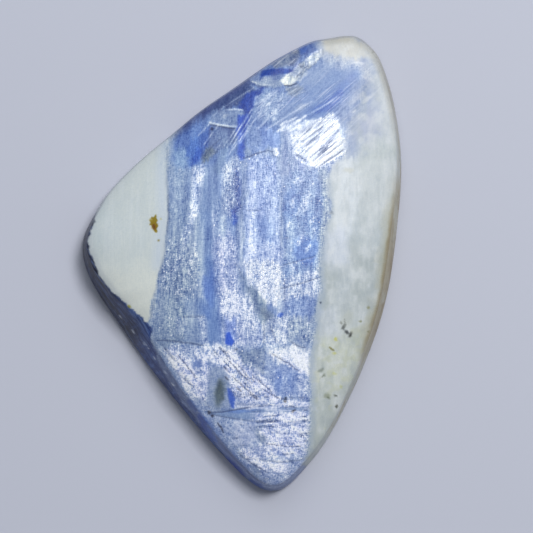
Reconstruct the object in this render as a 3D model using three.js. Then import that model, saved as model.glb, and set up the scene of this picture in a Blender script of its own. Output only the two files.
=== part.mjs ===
// A freeform cabochon of blue kyanite in white matrix, cut and polished as one stone.
//
// Frame: millimetres. +Y runs along the kyanite blades to the pointed top, +X to the right, +Z up through the dome.
// The flat ground back lies on Z = 0. The origin is under the middle of the outline.
//
// The stone is one closed solid, built as a stack of rings:
//   flat back -> small back bevel -> slanted girdle wall -> rounded shoulder -> low hand-cut dome.
import * as THREE from 'three';

// ---- driving dimensions, in mm ----
const LENGTH = 45.4; // along Y
const WIDTH = 31.85; // along X
const THICKNESS = 6.8; // flat back to the top of the dome
const BACK_BEVEL_INSET = 0.4; // how far the flat back stays inside the outline
const BACK_BEVEL_HEIGHT = 0.45;
const DOME_EXPONENT = 2.9; // larger is flatter in the middle
const SHOULDER_EXPONENT = 0.8; // smaller is rounder at the shoulder

// Girdle outline: distance from the middle to the outline every 3 degrees, anticlockwise from +X.
const OUTLINE_RADII = [
  15.065, 15.196, 15.365, 15.572, 15.821, 16.120, 16.472, 16.882, 17.344, 17.845,
  18.385, 18.967, 19.588, 20.233, 20.911, 21.644, 22.420, 23.227, 24.050, 24.785,
  25.174, 25.300, 24.771, 23.969, 23.278, 22.316, 21.330, 20.420, 19.537, 18.722,
  18.011, 17.409, 16.898, 16.467, 16.093, 15.752, 15.436, 15.149, 14.899, 14.698,
  14.551, 14.453, 14.399, 14.381, 14.390, 14.420, 14.470, 14.544, 14.649, 14.778,
  14.922, 15.069, 15.214, 15.356, 15.505, 15.677, 15.863, 15.992, 16.005, 15.905,
  15.720, 15.479, 15.203, 14.914, 14.631, 14.364, 14.126, 13.927, 13.767, 13.651,
  13.577, 13.535, 13.521, 13.539, 13.598, 13.699, 13.831, 13.991, 14.185, 14.422,
  14.705, 15.034, 15.414, 15.848, 16.347, 16.921, 17.561, 18.282, 19.109, 20.040,
  21.071, 22.044, 22.733, 22.906, 22.553, 21.892, 21.186, 20.551, 19.914, 19.271,
  18.669, 18.113, 17.597, 17.137, 16.738, 16.389, 16.081, 15.807, 15.575, 15.386,
  15.232, 15.110, 15.011, 14.933, 14.876, 14.844, 14.841, 14.863, 14.906, 14.971,
];

// The girdle wall, as [angle in degrees round the outline, value in mm].
// It leans inwards as it rises, most along the lower left side, where the cut is a broad steep bevel.
const WALL_LEAN = [
  [0, 0.72], [25, 0.62], [45, 0.42], [62, 0.4], [80, 0.3], [120, 0.24], [152, 0.28], [163, 0.42], [172, 0.62],
  [182, 0.88], [194, 1.25], [203, 1.7], [211, 2.0], [220, 1.85], [232, 1.6], [244, 1.35], [256, 1.15], [268, 0.95],
  [277, 0.85], [286, 0.65], [300, 0.55], [330, 0.66], [360, 0.72],
];
// Height at which the wall turns into the shoulder of the dome.
const WALL_TOP = [
  [0, 3.3], [45, 3.1], [62, 2.9], [90, 3.0], [120, 3.2], [150, 3.5], [172, 4.2], [205, 4.7], [238, 4.6], [256, 4.2],
  [277, 3.5], [300, 3.3], [330, 3.3], [360, 3.3],
];

// Broad flats that hand grinding left on the dome: a point on the flat, and the way that it faces.
const FLATS = [
  { at: [7.5, 14.9, 5.52], tiltDeg: 18.5, towardsDeg: 108 }, // slope up to the pointed top
  { at: [-4.2, 9.2, 5.95], tiltDeg: 22, towardsDeg: 127 }, // upper left side
  { at: [11.4, 2.5, 5.75], tiltDeg: 17, towardsDeg: 2 }, // right side
  { at: [-8.6, 4.0, 6.25], tiltDeg: 9, towardsDeg: 172 }, // left corner
  { at: [1.6, -13.2, 6.1], tiltDeg: 11, towardsDeg: 268 }, // slope down to the lower tip
];
const FLAT_BLEND = 3.2; // per mm: larger makes a crisper edge between a flat and the dome

// ---- rings ----
const WALL_STEPS = [0.34, 0.7, 1]; // of the wall's height
const DOME_STEPS = [0.988, 0.968, 0.94, 0.905, 0.86, 0.805, 0.735, 0.65, 0.56, 0.46, 0.36, 0.26, 0.16, 0.08];

const COUNT = OUTLINE_RADII.length;
const rad = THREE.MathUtils.degToRad;

// The outline as points, scaled so that its box is exactly WIDTH by LENGTH.
const outline = OUTLINE_RADII.map((radius, i) => {
  const angle = (i * 2 * Math.PI) / COUNT;
  return new THREE.Vector2(radius * Math.cos(angle), radius * Math.sin(angle));
});
{
  const box = new THREE.Box2().setFromPoints(outline);
  const size = box.getSize(new THREE.Vector2());
  const middle = box.getCenter(new THREE.Vector2());
  const scale = new THREE.Vector2(WIDTH / size.x, LENGTH / size.y);
  for (const point of outline) point.sub(middle).multiply(scale);
}

// Inward normals of the outline, from its neighbours on both sides.
const inward = outline.map((_, i) => {
  const before = outline[(i + COUNT - 1) % COUNT];
  const after = outline[(i + 1) % COUNT];
  const along = after.clone().sub(before).normalize();
  return new THREE.Vector2(-along.y, along.x);
});

// A value from one of the wall tables, eased between its angles.
function around(table, angleDeg) {
  const a = ((angleDeg % 360) + 360) % 360;
  for (let i = 1; i < table.length; i++) {
    if (a <= table[i][0]) {
      const [a0, v0] = table[i - 1];
      const [a1, v1] = table[i];
      return v0 + (v1 - v0) * THREE.MathUtils.smoothstep(a, a0, a1);
    }
  }
  return table[0][1];
}
const leanAt = outline.map((_, i) => around(WALL_LEAN, (i * 360) / COUNT));
const wallTopAt = outline.map((_, i) => around(WALL_TOP, (i * 360) / COUNT));

const flats = FLATS.map(({ at, tiltDeg, towardsDeg }) => {
  const slope = Math.tan(rad(tiltDeg));
  return { x: at[0], y: at[1], z: at[2], sx: slope * Math.cos(rad(towardsDeg)), sy: slope * Math.sin(rad(towardsDeg)) };
});

// Height of the polished top: the dome, with the flats blended into it.
function topHeight(x, y, share, wallTop) {
  const dome = wallTop + (THICKNESS - wallTop) * Math.pow(Math.max(0, 1 - Math.pow(share, DOME_EXPONENT)), SHOULDER_EXPONENT);
  let sum = Math.exp(-FLAT_BLEND * (dome - THICKNESS));
  for (const f of flats) {
    const plane = f.z - f.sx * (x - f.x) - f.sy * (y - f.y);
    sum += Math.exp(-FLAT_BLEND * (plane - THICKNESS));
  }
  const blended = THICKNESS - Math.log(sum) / FLAT_BLEND;
  // The blend fades out at the girdle, so the shoulder starts level all the way round.
  const fade = THREE.MathUtils.smoothstep(share, 0.9, 1);
  return THREE.MathUtils.lerp(blended, dome, fade);
}

const rings = [];
rings.push(outline.map((p, i) => new THREE.Vector3(
  p.x + inward[i].x * BACK_BEVEL_INSET, p.y + inward[i].y * BACK_BEVEL_INSET, 0)));
rings.push(outline.map((p) => new THREE.Vector3(p.x, p.y, BACK_BEVEL_HEIGHT)));
for (const step of WALL_STEPS) {
  rings.push(outline.map((p, i) => {
    const distance = leanAt[i] * Math.pow(step, 1.25);
    const z = BACK_BEVEL_HEIGHT + (wallTopAt[i] - BACK_BEVEL_HEIGHT) * step;
    return new THREE.Vector3(p.x + inward[i].x * distance, p.y + inward[i].y * distance, z);
  }));
}
const girdleTop = rings[rings.length - 1];
for (const share of DOME_STEPS) {
  rings.push(girdleTop.map((p, i) => {
    const x = p.x * share;
    const y = p.y * share;
    return new THREE.Vector3(x, y, topHeight(x, y, share, wallTopAt[i]));
  }));
}

// ---- one closed body ----
const positions = [];
for (const ring of rings) for (const p of ring) positions.push(p.x, p.y, p.z);
const backMiddle = positions.length / 3;
positions.push(0, 0, 0);
const topMiddle = positions.length / 3;
positions.push(0, 0, topHeight(0, 0, 0, wallTopAt[0]));

const indices = [];
for (let i = 0; i < COUNT; i++) {
  const j = (i + 1) % COUNT;
  indices.push(backMiddle, j, i); // flat back, facing down
  for (let r = 0; r + 1 < rings.length; r++) {
    const a = r * COUNT + i;
    const b = r * COUNT + j;
    const c = a + COUNT;
    const d = b + COUNT;
    indices.push(a, b, d, a, d, c);
  }
  const last = (rings.length - 1) * COUNT;
  indices.push(last + i, last + j, topMiddle); // top of the dome
}

const geometry = new THREE.BufferGeometry();
geometry.setAttribute('position', new THREE.Float32BufferAttribute(positions, 3));
geometry.setIndex(indices);
geometry.computeVertexNormals();

const cabochon = new THREE.Mesh(
  geometry,
  new THREE.MeshStandardMaterial({ color: 0x8fa6c8, roughness: 0.25, metalness: 0 }),
);
cabochon.name = 'cabochon';

const group = new THREE.Group();
group.add(cabochon);

export default group;
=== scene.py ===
"""Freeform kyanite cabochon: fine mesh, procedural material, studio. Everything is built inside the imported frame."""

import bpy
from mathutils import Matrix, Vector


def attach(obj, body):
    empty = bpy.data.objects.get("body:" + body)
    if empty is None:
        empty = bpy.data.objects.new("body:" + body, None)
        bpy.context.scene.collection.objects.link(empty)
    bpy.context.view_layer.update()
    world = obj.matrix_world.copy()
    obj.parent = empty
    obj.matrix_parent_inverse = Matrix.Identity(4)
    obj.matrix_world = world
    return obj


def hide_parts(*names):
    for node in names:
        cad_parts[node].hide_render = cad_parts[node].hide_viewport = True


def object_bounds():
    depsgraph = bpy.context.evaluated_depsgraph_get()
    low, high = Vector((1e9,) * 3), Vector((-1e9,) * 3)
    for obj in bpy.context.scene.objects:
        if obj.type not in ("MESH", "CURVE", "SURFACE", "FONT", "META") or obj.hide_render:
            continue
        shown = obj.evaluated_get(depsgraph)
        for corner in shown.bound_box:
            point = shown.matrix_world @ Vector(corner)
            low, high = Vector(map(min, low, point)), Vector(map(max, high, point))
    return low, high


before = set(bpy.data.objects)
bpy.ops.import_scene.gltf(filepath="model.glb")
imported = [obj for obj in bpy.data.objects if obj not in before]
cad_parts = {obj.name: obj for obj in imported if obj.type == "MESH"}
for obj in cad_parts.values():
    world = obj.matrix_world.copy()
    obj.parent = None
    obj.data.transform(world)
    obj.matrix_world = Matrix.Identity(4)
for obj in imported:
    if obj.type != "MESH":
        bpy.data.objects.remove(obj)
CAD_BOX = [[float(c) for c in corner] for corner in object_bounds()]

import math
import bpy
import numpy as np
from mathutils import Vector
from mathutils.geometry import delaunay_2d_cdt

MM = 0.001

# ------------------------------------------------------------------ the cut shape, as in the CAD solid, in mm
LENGTH, WIDTH, THICKNESS = 45.4, 31.85, 6.8
BACK_BEVEL_INSET, BACK_BEVEL_HEIGHT = 0.4, 0.45
DOME_EXPONENT, SHOULDER_EXPONENT, FLAT_BLEND = 2.9, 0.8, 3.2
OUTLINE_RADII = [
  15.065, 15.196, 15.365, 15.572, 15.821, 16.120, 16.472, 16.882, 17.344, 17.845,
  18.385, 18.967, 19.588, 20.233, 20.911, 21.644, 22.420, 23.227, 24.050, 24.785,
  25.174, 25.300, 24.771, 23.969, 23.278, 22.316, 21.330, 20.420, 19.537, 18.722,
  18.011, 17.409, 16.898, 16.467, 16.093, 15.752, 15.436, 15.149, 14.899, 14.698,
  14.551, 14.453, 14.399, 14.381, 14.390, 14.420, 14.470, 14.544, 14.649, 14.778,
  14.922, 15.069, 15.214, 15.356, 15.505, 15.677, 15.863, 15.992, 16.005, 15.905,
  15.720, 15.479, 15.203, 14.914, 14.631, 14.364, 14.126, 13.927, 13.767, 13.651,
  13.577, 13.535, 13.521, 13.539, 13.598, 13.699, 13.831, 13.991, 14.185, 14.422,
  14.705, 15.034, 15.414, 15.848, 16.347, 16.921, 17.561, 18.282, 19.109, 20.040,
  21.071, 22.044, 22.733, 22.906, 22.553, 21.892, 21.186, 20.551, 19.914, 19.271,
  18.669, 18.113, 17.597, 17.137, 16.738, 16.389, 16.081, 15.807, 15.575, 15.386,
  15.232, 15.110, 15.011, 14.933, 14.876, 14.844, 14.841, 14.863, 14.906, 14.971,
]
WALL_LEAN = [
    (0, 0.72), (25, 0.62), (45, 0.42), (62, 0.4), (80, 0.3), (120, 0.24), (152, 0.28), (163, 0.42), (172, 0.62),
    (182, 0.88), (194, 1.25), (203, 1.7), (211, 2.0), (220, 1.85), (232, 1.6), (244, 1.35), (256, 1.15), (268, 0.95),
    (277, 0.85), (286, 0.65), (300, 0.55), (330, 0.66), (360, 0.72),
]
WALL_TOP = [
    (0, 3.3), (45, 3.1), (62, 2.9), (90, 3.0), (120, 3.2), (150, 3.5), (172, 4.2), (205, 4.7), (238, 4.6), (256, 4.2),
    (277, 3.5), (300, 3.3), (330, 3.3), (360, 3.3),
]
FLATS = [((7.5, 14.9, 5.52), 18.5, 108), ((-4.2, 9.2, 5.95), 22, 127), ((11.4, 2.5, 5.75), 17, 2),
         ((-8.6, 4.0, 6.25), 9, 172), ((1.6, -13.2, 6.1), 11, 268)]


def smoothstep(a, b, x):
    t = np.clip((x - a) / (b - a), 0.0, 1.0)
    return t * t * (3 - 2 * t)


def periodic_spline(values, where):
    """Smooth periodic cubic through evenly spaced values; where is in steps."""
    v = np.asarray(values, float)
    n = len(v)
    m = np.zeros((n, n))
    for i in range(n):
        m[i, i] = 4.0
        m[i, (i - 1) % n] = m[i, (i + 1) % n] = 1.0
    slope = np.linalg.solve(m, 3.0 * (np.roll(v, -1) - np.roll(v, 1)))
    i = np.floor(where).astype(int) % n
    t = where - np.floor(where)
    j = (i + 1) % n
    h00, h10 = 2 * t**3 - 3 * t**2 + 1, t**3 - 2 * t**2 + t
    h01, h11 = -2 * t**3 + 3 * t**2, t**3 - t**2
    return h00 * v[i] + h10 * slope[i] + h01 * v[j] + h11 * slope[j]


def outline_curve(count):
    """The girdle outline at equal steps of its length: points, inward normals and the angle of each."""
    fine = np.arange(14400) / 14400 * 120.0
    r = periodic_spline(OUTLINE_RADII, fine)
    a = fine * math.radians(3.0)
    p = np.c_[r * np.cos(a), r * np.sin(a)]
    coarse_a = np.arange(120) * math.radians(3.0)
    coarse = np.c_[np.array(OUTLINE_RADII) * np.cos(coarse_a), np.array(OUTLINE_RADII) * np.sin(coarse_a)]
    low, high = coarse.min(0), coarse.max(0)
    p = (p - (low + high) / 2) * np.array([WIDTH, LENGTH]) / (high - low)
    closed = np.vstack([p, p[:1]])
    s = np.r_[0, np.cumsum(np.hypot(*np.diff(closed, axis=0).T))]
    want = np.arange(count) / count * s[-1]
    x = np.interp(want, s, closed[:, 0])
    y = np.interp(want, s, closed[:, 1])
    deg = np.interp(want, s, np.r_[np.degrees(a), 360.0])
    q = np.c_[x, y]
    along = np.roll(q, -3, axis=0) - np.roll(q, 3, axis=0)
    along /= np.linalg.norm(along, axis=1)[:, None]
    return q, np.c_[-along[:, 1], along[:, 0]], deg


def around(table, deg):
    """A value from one of the wall tables, eased between its angles."""
    knots = np.array([k for k, _ in table], float)
    vals = np.array([v for _, v in table], float)
    i = np.clip(np.searchsorted(knots, deg, side="right") - 1, 0, len(knots) - 2)
    t = smoothstep(0, 1, (deg - knots[i]) / (knots[i + 1] - knots[i]))
    return vals[i] + (vals[i + 1] - vals[i]) * t


def top_height(x, y, share, wall_top):
    dome = wall_top + (THICKNESS - wall_top) * np.power(np.clip(1 - np.power(share, DOME_EXPONENT), 0, None), SHOULDER_EXPONENT)
    total = np.exp(-FLAT_BLEND * (dome - THICKNESS))
    for (fx, fy, fz), tilt, towards in FLATS:
        k = math.tan(math.radians(tilt))
        plane = fz - k * math.cos(math.radians(towards)) * (x - fx) - k * math.sin(math.radians(towards)) * (y - fy)
        total = total + np.exp(-FLAT_BLEND * (plane - THICKNESS))
    blended = THICKNESS - np.log(total) / FLAT_BLEND
    fade = smoothstep(0.9, 1.0, share)
    return blended * (1 - fade) + dome * fade


# ------------------------------------------------------------------ seeded noise on plain arrays
_tables = {}


def lattice(seed):
    if seed not in _tables:
        _tables[seed] = np.random.RandomState(seed).rand(256, 256)
    return _tables[seed]


def vnoise(x, y, seed):
    t = lattice(seed)
    xi, yi = np.floor(x).astype(int), np.floor(y).astype(int)
    fx, fy = x - xi, y - yi
    fx = fx * fx * fx * (fx * (fx * 6 - 15) + 10)
    fy = fy * fy * fy * (fy * (fy * 6 - 15) + 10)
    x0, x1, y0, y1 = xi % 256, (xi + 1) % 256, yi % 256, (yi + 1) % 256
    a = t[x0, y0] * (1 - fx) + t[x1, y0] * fx
    b = t[x0, y1] * (1 - fx) + t[x1, y1] * fx
    return a * (1 - fy) + b * fy


def fbm(x, y, seed, octaves=3, gain=0.5):
    total, amp, norm = 0.0, 1.0, 0.0
    for k in range(octaves):
        total = total + amp * vnoise(x * 2**k + 17.3 * k, y * 2**k + 9.1 * k, seed + k)
        norm += amp
        amp *= gain
    return total / norm - 0.5


# ------------------------------------------------------------------ the mesh
RIM = 1000
rim, rim_in, rim_deg = outline_curve(RIM)
rim_lean = around(WALL_LEAN, rim_deg)
rim_top = around(WALL_TOP, rim_deg)
crest = rim + rim_in * rim_lean[:, None]                # top edge of the wall

crest_a = np.unwrap(np.arctan2(crest[:, 1], crest[:, 0]))
crest_r = np.hypot(crest[:, 0], crest[:, 1])
_a = np.mod(crest_a, 2 * math.pi)
_o = np.argsort(_a)
_A = np.r_[_a[_o][-8:] - 2 * math.pi, _a[_o], _a[_o][:8] + 2 * math.pi]
_R = np.r_[crest_r[_o][-8:], crest_r[_o], crest_r[_o][:8]]
_T = np.r_[rim_top[_o][-8:], rim_top[_o], rim_top[_o][:8]]


def share_of(x, y):
    """Share of the way from the middle to the top edge of the wall, and that edge's height."""
    a = np.mod(np.arctan2(y, x), 2 * math.pi)
    return np.hypot(x, y) / np.interp(a, _A, _R), np.interp(a, _A, _T)


def inside_points(loop, step, margin):
    """Hexagonal lattice inside a loop, kept a margin away from it."""
    lo, hi = loop.min(0), loop.max(0)
    rows = np.arange(lo[1], hi[1], step * math.sqrt(3) / 2)
    out = []
    closed = np.vstack([loop, loop[:1]])
    x0, y0, x1, y1 = closed[:-1, 0], closed[:-1, 1], closed[1:, 0], closed[1:, 1]
    for k, y in enumerate(rows):
        hit = (y0 <= y) != (y1 <= y)
        xs = np.sort(x0[hit] + (y - y0[hit]) / (y1[hit] - y0[hit]) * (x1[hit] - x0[hit]))
        for a, b in zip(xs[::2], xs[1::2]):
            line = np.arange(lo[0] + (k % 2) * step / 2, hi[0], step)
            line = line[(line > a + margin * 0.5) & (line < b - margin * 0.5)]
            if len(line):
                out.append(np.c_[line, np.full(len(line), y)])
    pts = np.vstack(out)
    near = np.full(len(pts), 9.0)
    for i in range(0, len(loop), 50):                   # distance to the loop's own points, in blocks
        block = loop[i:i + 50]
        c, r = block.mean(0), np.hypot(*(block - block.mean(0)).T).max() + margin
        close = np.where(np.hypot(pts[:, 0] - c[0], pts[:, 1] - c[1]) < r + 0.05)[0]
        if len(close):
            d = np.hypot(pts[close, None, 0] - block[None, :, 0], pts[close, None, 1] - block[None, :, 1]).min(1)
            near[close] = np.minimum(near[close], d)
    return pts[near > margin]


def fill(loop, extra):
    """Triangles over a closed loop with extra points inside it; the loop's points come first."""
    n = len(loop)
    verts = [Vector((float(x), float(y))) for x, y in np.vstack([loop, extra])]
    edges = [(i, (i + 1) % n) for i in range(n)]
    out_v, _, out_f, _, _, _ = delaunay_2d_cdt(verts, edges, [list(range(n))], 1, 1e-6, True)
    assert len(out_v) == len(verts), "points merged"
    f = np.array([list(t) for t in out_f], int)
    p = np.vstack([loop, extra])
    area = (p[f[:, 1], 0] - p[f[:, 0], 0]) * (p[f[:, 2], 1] - p[f[:, 0], 1]) - (p[f[:, 1], 1] - p[f[:, 0], 1]) * (p[f[:, 2], 0] - p[f[:, 0], 0])
    f[area < 0] = f[area < 0][:, ::-1]
    # the loop has hollow stretches: a triangle that runs along it backwards, and all behind it, lies outside
    ring = [int(k) for k in np.where((f < n).all(1))[0]]
    sides = {k: [(int(f[k][q]), int(f[k][(q + 1) % 3])) for q in range(3)] for k in ring}
    across = {}
    for k in ring:
        for a, b in sides[k]:
            if (a + 1) % n != b and (b + 1) % n != a:
                across.setdefault((min(a, b), max(a, b)), []).append(k)
    x, y = loop.T
    step = 1 if (x * np.roll(y, -1) - np.roll(x, -1) * y).sum() > 0 else -1
    todo = [k for k in ring if any((b + step) % n == a for a, b in sides[k])]
    outside = set(todo)
    while todo:
        for a, b in sides[todo.pop()]:
            for k in across.get((min(a, b), max(a, b)), []):
                if k not in outside:
                    outside.add(k)
                    todo.append(k)
    keep = np.ones(len(f), bool)
    keep[list(outside)] = False
    f, area = f[keep], np.abs(area[keep])
    owners = {}                                         # flat triangles on three points in line
    for t in np.where((f < n).sum(1) > 1)[0]:
        for q in range(3):
            a, b = sorted((int(f[t][q]), int(f[t][(q + 1) % 3])))
            if b < n and b - a in (1, n - 1):
                owners.setdefault((a, b), []).append(t)
    flat = {min(ts, key=lambda t: area[t]) for ts in owners.values() if len(ts) > 1}
    f = np.delete(f, list(flat), axis=0)
    assert len(f) == n + 2 * len(extra) - 2, "gap or overlap in the fill"
    return f


TOP_STEP = 0.1215
top_extra = inside_points(crest, TOP_STEP, 0.075)
top_faces = fill(crest, top_extra)

WALL_ROWS = 16
rings, kind = [], []
back_edge = rim + rim_in * BACK_BEVEL_INSET
rings.append(np.c_[back_edge, np.zeros(RIM)])
rings.append(np.c_[rim + rim_in * BACK_BEVEL_INSET * 0.5, np.full(RIM, BACK_BEVEL_HEIGHT * 0.42)])
for k in range(WALL_ROWS):
    step = k / WALL_ROWS
    q = rim + rim_in * (rim_lean * step**1.25)[:, None]
    rings.append(np.c_[q, BACK_BEVEL_HEIGHT + (rim_top - BACK_BEVEL_HEIGHT) * step])
wall = np.vstack(rings)
n_wall = len(wall)

top_xy = np.vstack([crest, top_extra])
top_share, top_wall = share_of(top_xy[:, 0], top_xy[:, 1])
top_share = np.clip(top_share, 0, 1)
top_share[:RIM], top_wall[:RIM] = 1.0, rim_top
top = np.c_[top_xy, top_height(top_xy[:, 0], top_xy[:, 1], top_share, top_wall)]

back_extra = inside_points(back_edge, 0.345, 0.2)
back_faces = fill(back_edge, back_extra)

verts = np.vstack([wall, top, np.c_[back_extra, np.zeros(len(back_extra))]])
n_top = len(top)
is_wall = np.zeros(len(verts)); is_wall[:n_wall] = 1
is_top = np.zeros(len(verts)); is_top[n_wall:n_wall + n_top] = 1
is_back = 1 - np.clip(is_wall + is_top, 0, 1)
is_back[:RIM] = 1; is_wall[:RIM] = 0

faces = []
i = np.arange(RIM)
j = (i + 1) % RIM
for r in range(len(rings)):
    a, b = r * RIM + i, r * RIM + j
    c, d = a + RIM, b + RIM                             # the ring above the last wall ring is the top's own edge
    quad = (r % 2 == 0)
    faces.append(np.c_[a, b, d]); faces.append(np.c_[a, d, c])
faces.append(top_faces + n_wall)
back_map = np.r_[np.arange(RIM), np.arange(len(back_extra)) + n_wall + n_top]
faces.append(back_map[back_faces][:, ::-1])
faces = np.vstack(faces)
print("triangles", len(faces), "vertices", len(verts))

X, Y, Z = verts.T
N = len(verts)

# ------------------------------------------------------------------ pattern layout: tenths of a millimetre, u right, v down
CU, CV = 241.93, 263.15
U = X * 10 + CU
V = CV - Y * 10
UV = np.c_[U, V]


def warp(amount, period, seed, torn=0.0):
    """The layout shifted by noise, which makes drawn edges ragged; torn lengthens them along the blades."""
    if amount <= 0:
        return UV
    shift = 2 * np.c_[fbm(U / period, V / period, seed, 3), fbm(U / period, V / period, seed + 40, 3)]
    if torn > 0:
        shift[:, 1] += torn * 2 * fbm(U / 1.7, V / 36.0, seed + 90, 2)
        shift[:, 0] += torn * 0.5 * fbm(U / 2.4, V / 7.0, seed + 95, 2)
    return UV + amount * shift


def polygon(points, soft=2.0, rag=1.5, period=5.0, seed=1, torn=None):
    """1 inside, 0 outside, with an edge soft units wide."""
    p = np.asarray(points, float)
    torn = (1.6 if period == 5.0 else 0.0) if torn is None else torn
    grow = soft + rag * (2 + 1.5 * torn) + 2
    lo, hi = p.min(0) - grow, p.max(0) + grow
    sel = np.where((U > lo[0]) & (U < hi[0]) & (V > lo[1]) & (V < hi[1]))[0]
    out = np.zeros(N)
    if not len(sel):
        return out
    q = warp(rag, period, seed, torn)[sel]
    dist = np.full(len(sel), 1e9)
    inside = np.zeros(len(sel), bool)
    for k in range(len(p)):
        a, b = p[k], p[(k + 1) % len(p)]
        ab = b - a
        t = np.clip(((q - a) @ ab) / max(ab @ ab, 1e-9), 0, 1)
        dist = np.minimum(dist, np.hypot(*(q - a - t[:, None] * ab).T))
        cross = ((a[1] <= q[:, 1]) != (b[1] <= q[:, 1]))
        with np.errstate(divide="ignore", invalid="ignore"):
            xs = a[0] + (q[:, 1] - a[1]) / (b[1] - a[1]) * (b[0] - a[0])
        inside ^= cross & (q[:, 0] < xs)
    sd = np.where(inside, -dist, dist)
    out[sel] = smoothstep(soft / 2, -soft / 2, sd)
    return out


def stroke(points, width=1.0, soft=1.0, taper=0.0, rag=0.0, period=5.0, seed=2):
    """A drawn line: width is its full width, taper narrows it towards both ends."""
    p = np.asarray(points, float)
    torn = 1.2 if period == 5.0 and rag >= 1.5 and width >= 4 else 0.0
    reach = width / 2 + soft + rag * (2 + 1.5 * torn) + 1
    lo, hi = p.min(0) - reach, p.max(0) + reach
    sel = np.where((U > lo[0]) & (U < hi[0]) & (V > lo[1]) & (V < hi[1]))[0]
    out = np.zeros(N)
    if not len(sel):
        return out
    q = warp(rag, period, seed, torn)[sel]
    seg = np.hypot(*np.diff(p, axis=0).T)
    total = seg.sum()
    dist, along, run = np.full(len(sel), 1e9), np.zeros(len(sel)), 0.0
    for k in range(len(p) - 1):
        a, ab = p[k], p[k + 1] - p[k]
        t = np.clip(((q - a) @ ab) / max(ab @ ab, 1e-9), 0, 1)
        d = np.hypot(*(q - a - t[:, None] * ab).T)
        near = d < dist
        dist[near] = d[near]
        along[near] = (run + t[near] * seg[k]) / total
        run += seg[k]
    half = width / 2 * (1 - taper + taper * np.sqrt(np.clip(4 * along * (1 - along), 0, 1)))
    out[sel] = smoothstep(half + soft / 2, half - soft / 2, dist)
    return out


def spot(u, v, ru, rv=None, turn=0.0, soft=0.5, rag=0.0, period=4.0, seed=3):
    """A soft oval; soft is a share of its radius."""
    rv = ru if rv is None else rv
    q = warp(rag, period, seed) - np.array([u, v])
    c, s = math.cos(math.radians(turn)), math.sin(math.radians(turn))
    a, b = q[:, 0] * c + q[:, 1] * s, -q[:, 0] * s + q[:, 1] * c
    return smoothstep(1 + soft, 1 - soft, np.hypot(a / ru, b / rv))


class Paint:
    """Colour and the masks that steer the fine texture."""

    def __init__(self):
        self.rgb = np.zeros((N, 3))
        self.fibre = np.full(N, 0.5)      # strength of fine blade streaks
        self.fleck = np.zeros(N)          # bright cleavage flecks; their brightness is painted sheen, light caught by the cleavage
        self.net = np.zeros(N)            # fine dark crackle
        self.scratch = np.zeros(N)        # diagonal polishing scratches
        self.gloss = np.full(N, 0.5)      # 1 is the shiniest
        self.kyanite = np.ones(N)
        self.relief = np.zeros(N)         # mm, along the surface normal

    def __call__(self, mask, colour=None, amount=1.0, **fields):
        m = mask * amount
        if colour is not None:
            self.rgb += (np.array(colour, float) / 255 - self.rgb) * m[:, None]
        for name, value in fields.items():
            old = getattr(self, name)
            if name == "relief":
                old += value * mask
            else:
                old += (value - old) * mask
        return mask


paint = Paint()

# palette
SILVER, WHITE, LAVENDER = (206, 215, 238), (243, 247, 255), (188, 201, 232)
PERI, GREYBLUE, SLATE = (172, 191, 233), (146, 165, 200), (126, 147, 183)
BLUE, MIDBLUE, DEEP, ROYAL = (112, 139, 200), (136, 159, 207), (80, 108, 180), (62, 96, 188)
DARK, INK = (62, 66, 88), (34, 38, 52)
MILK, CREAM, ICE, GREENISH = (195, 204, 205), (217, 223, 224), (187, 197, 214), (184, 192, 187)

# ---- kyanite, all of the body first
streak = fbm(U / 5.0, V / 46.0, 11, 3)
streak2 = fbm(U / 2.6, V / 24.0, 15, 2)
cloud = fbm(U / 30.0, V / 42.0, 21, 3)
paint(np.ones(N), GREYBLUE)
paint(smoothstep(0.0, 0.2, streak), LAVENDER, 0.45)
paint(smoothstep(0.0, 0.22, -streak), BLUE, 0.55)
paint(smoothstep(0.05, 0.3, -cloud), MIDBLUE, 0.5)
paint.fleck += 0.25

# ---- the band's long blades, drawn along their length
paint(stroke([(181, 130), (180, 200), (177, 270), (172, 350)], 24, 12, rag=2), (128, 149, 186), 0.85, fleck=0.3)
paint(stroke([(187, 275), (180, 300), (180, 330)], 18, 10, rag=3), (128, 148, 178), 0.6, fleck=0.5)
paint(stroke([(192, 300), (200, 312), (200, 336)], 18, 8, rag=3, seed=5), (116, 140, 190), 0.7, fleck=0.2)
paint(stroke([(215, 160), (211, 195), (207, 235), (203, 262)], 17, 7, rag=1.5), (130, 153, 196), 0.95, fleck=0.03, gloss=0.6)
paint(stroke([(209, 218), (210, 240), (211, 262)], 11, 9, rag=2, period=7), (124, 149, 196), 0.9, fleck=0.15)
paint(stroke([(211, 262), (212, 280), (213, 300), (214, 340)], 13, 11, taper=0.2, rag=2, period=7), (112, 140, 194), 0.95, fleck=0.1)
paint(stroke([(213, 268), (213, 285), (212, 306)], 7, 7, taper=0.8, rag=2, period=6), (90, 121, 192), 0.8, fleck=0.0)
paint(stroke([(206, 276), (208, 299)], 6, 6, taper=0.8, rag=1.5, period=6), (88, 119, 196), 0.75)
paint(stroke([(199, 302), (208, 314)], 12, 8, taper=0.4, rag=2, period=6), (88, 118, 184), 0.9)
paint(stroke([(190, 300), (197, 309)], 8, 6, taper=0.5, rag=2, period=6), (102, 130, 188), 0.65)
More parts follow.
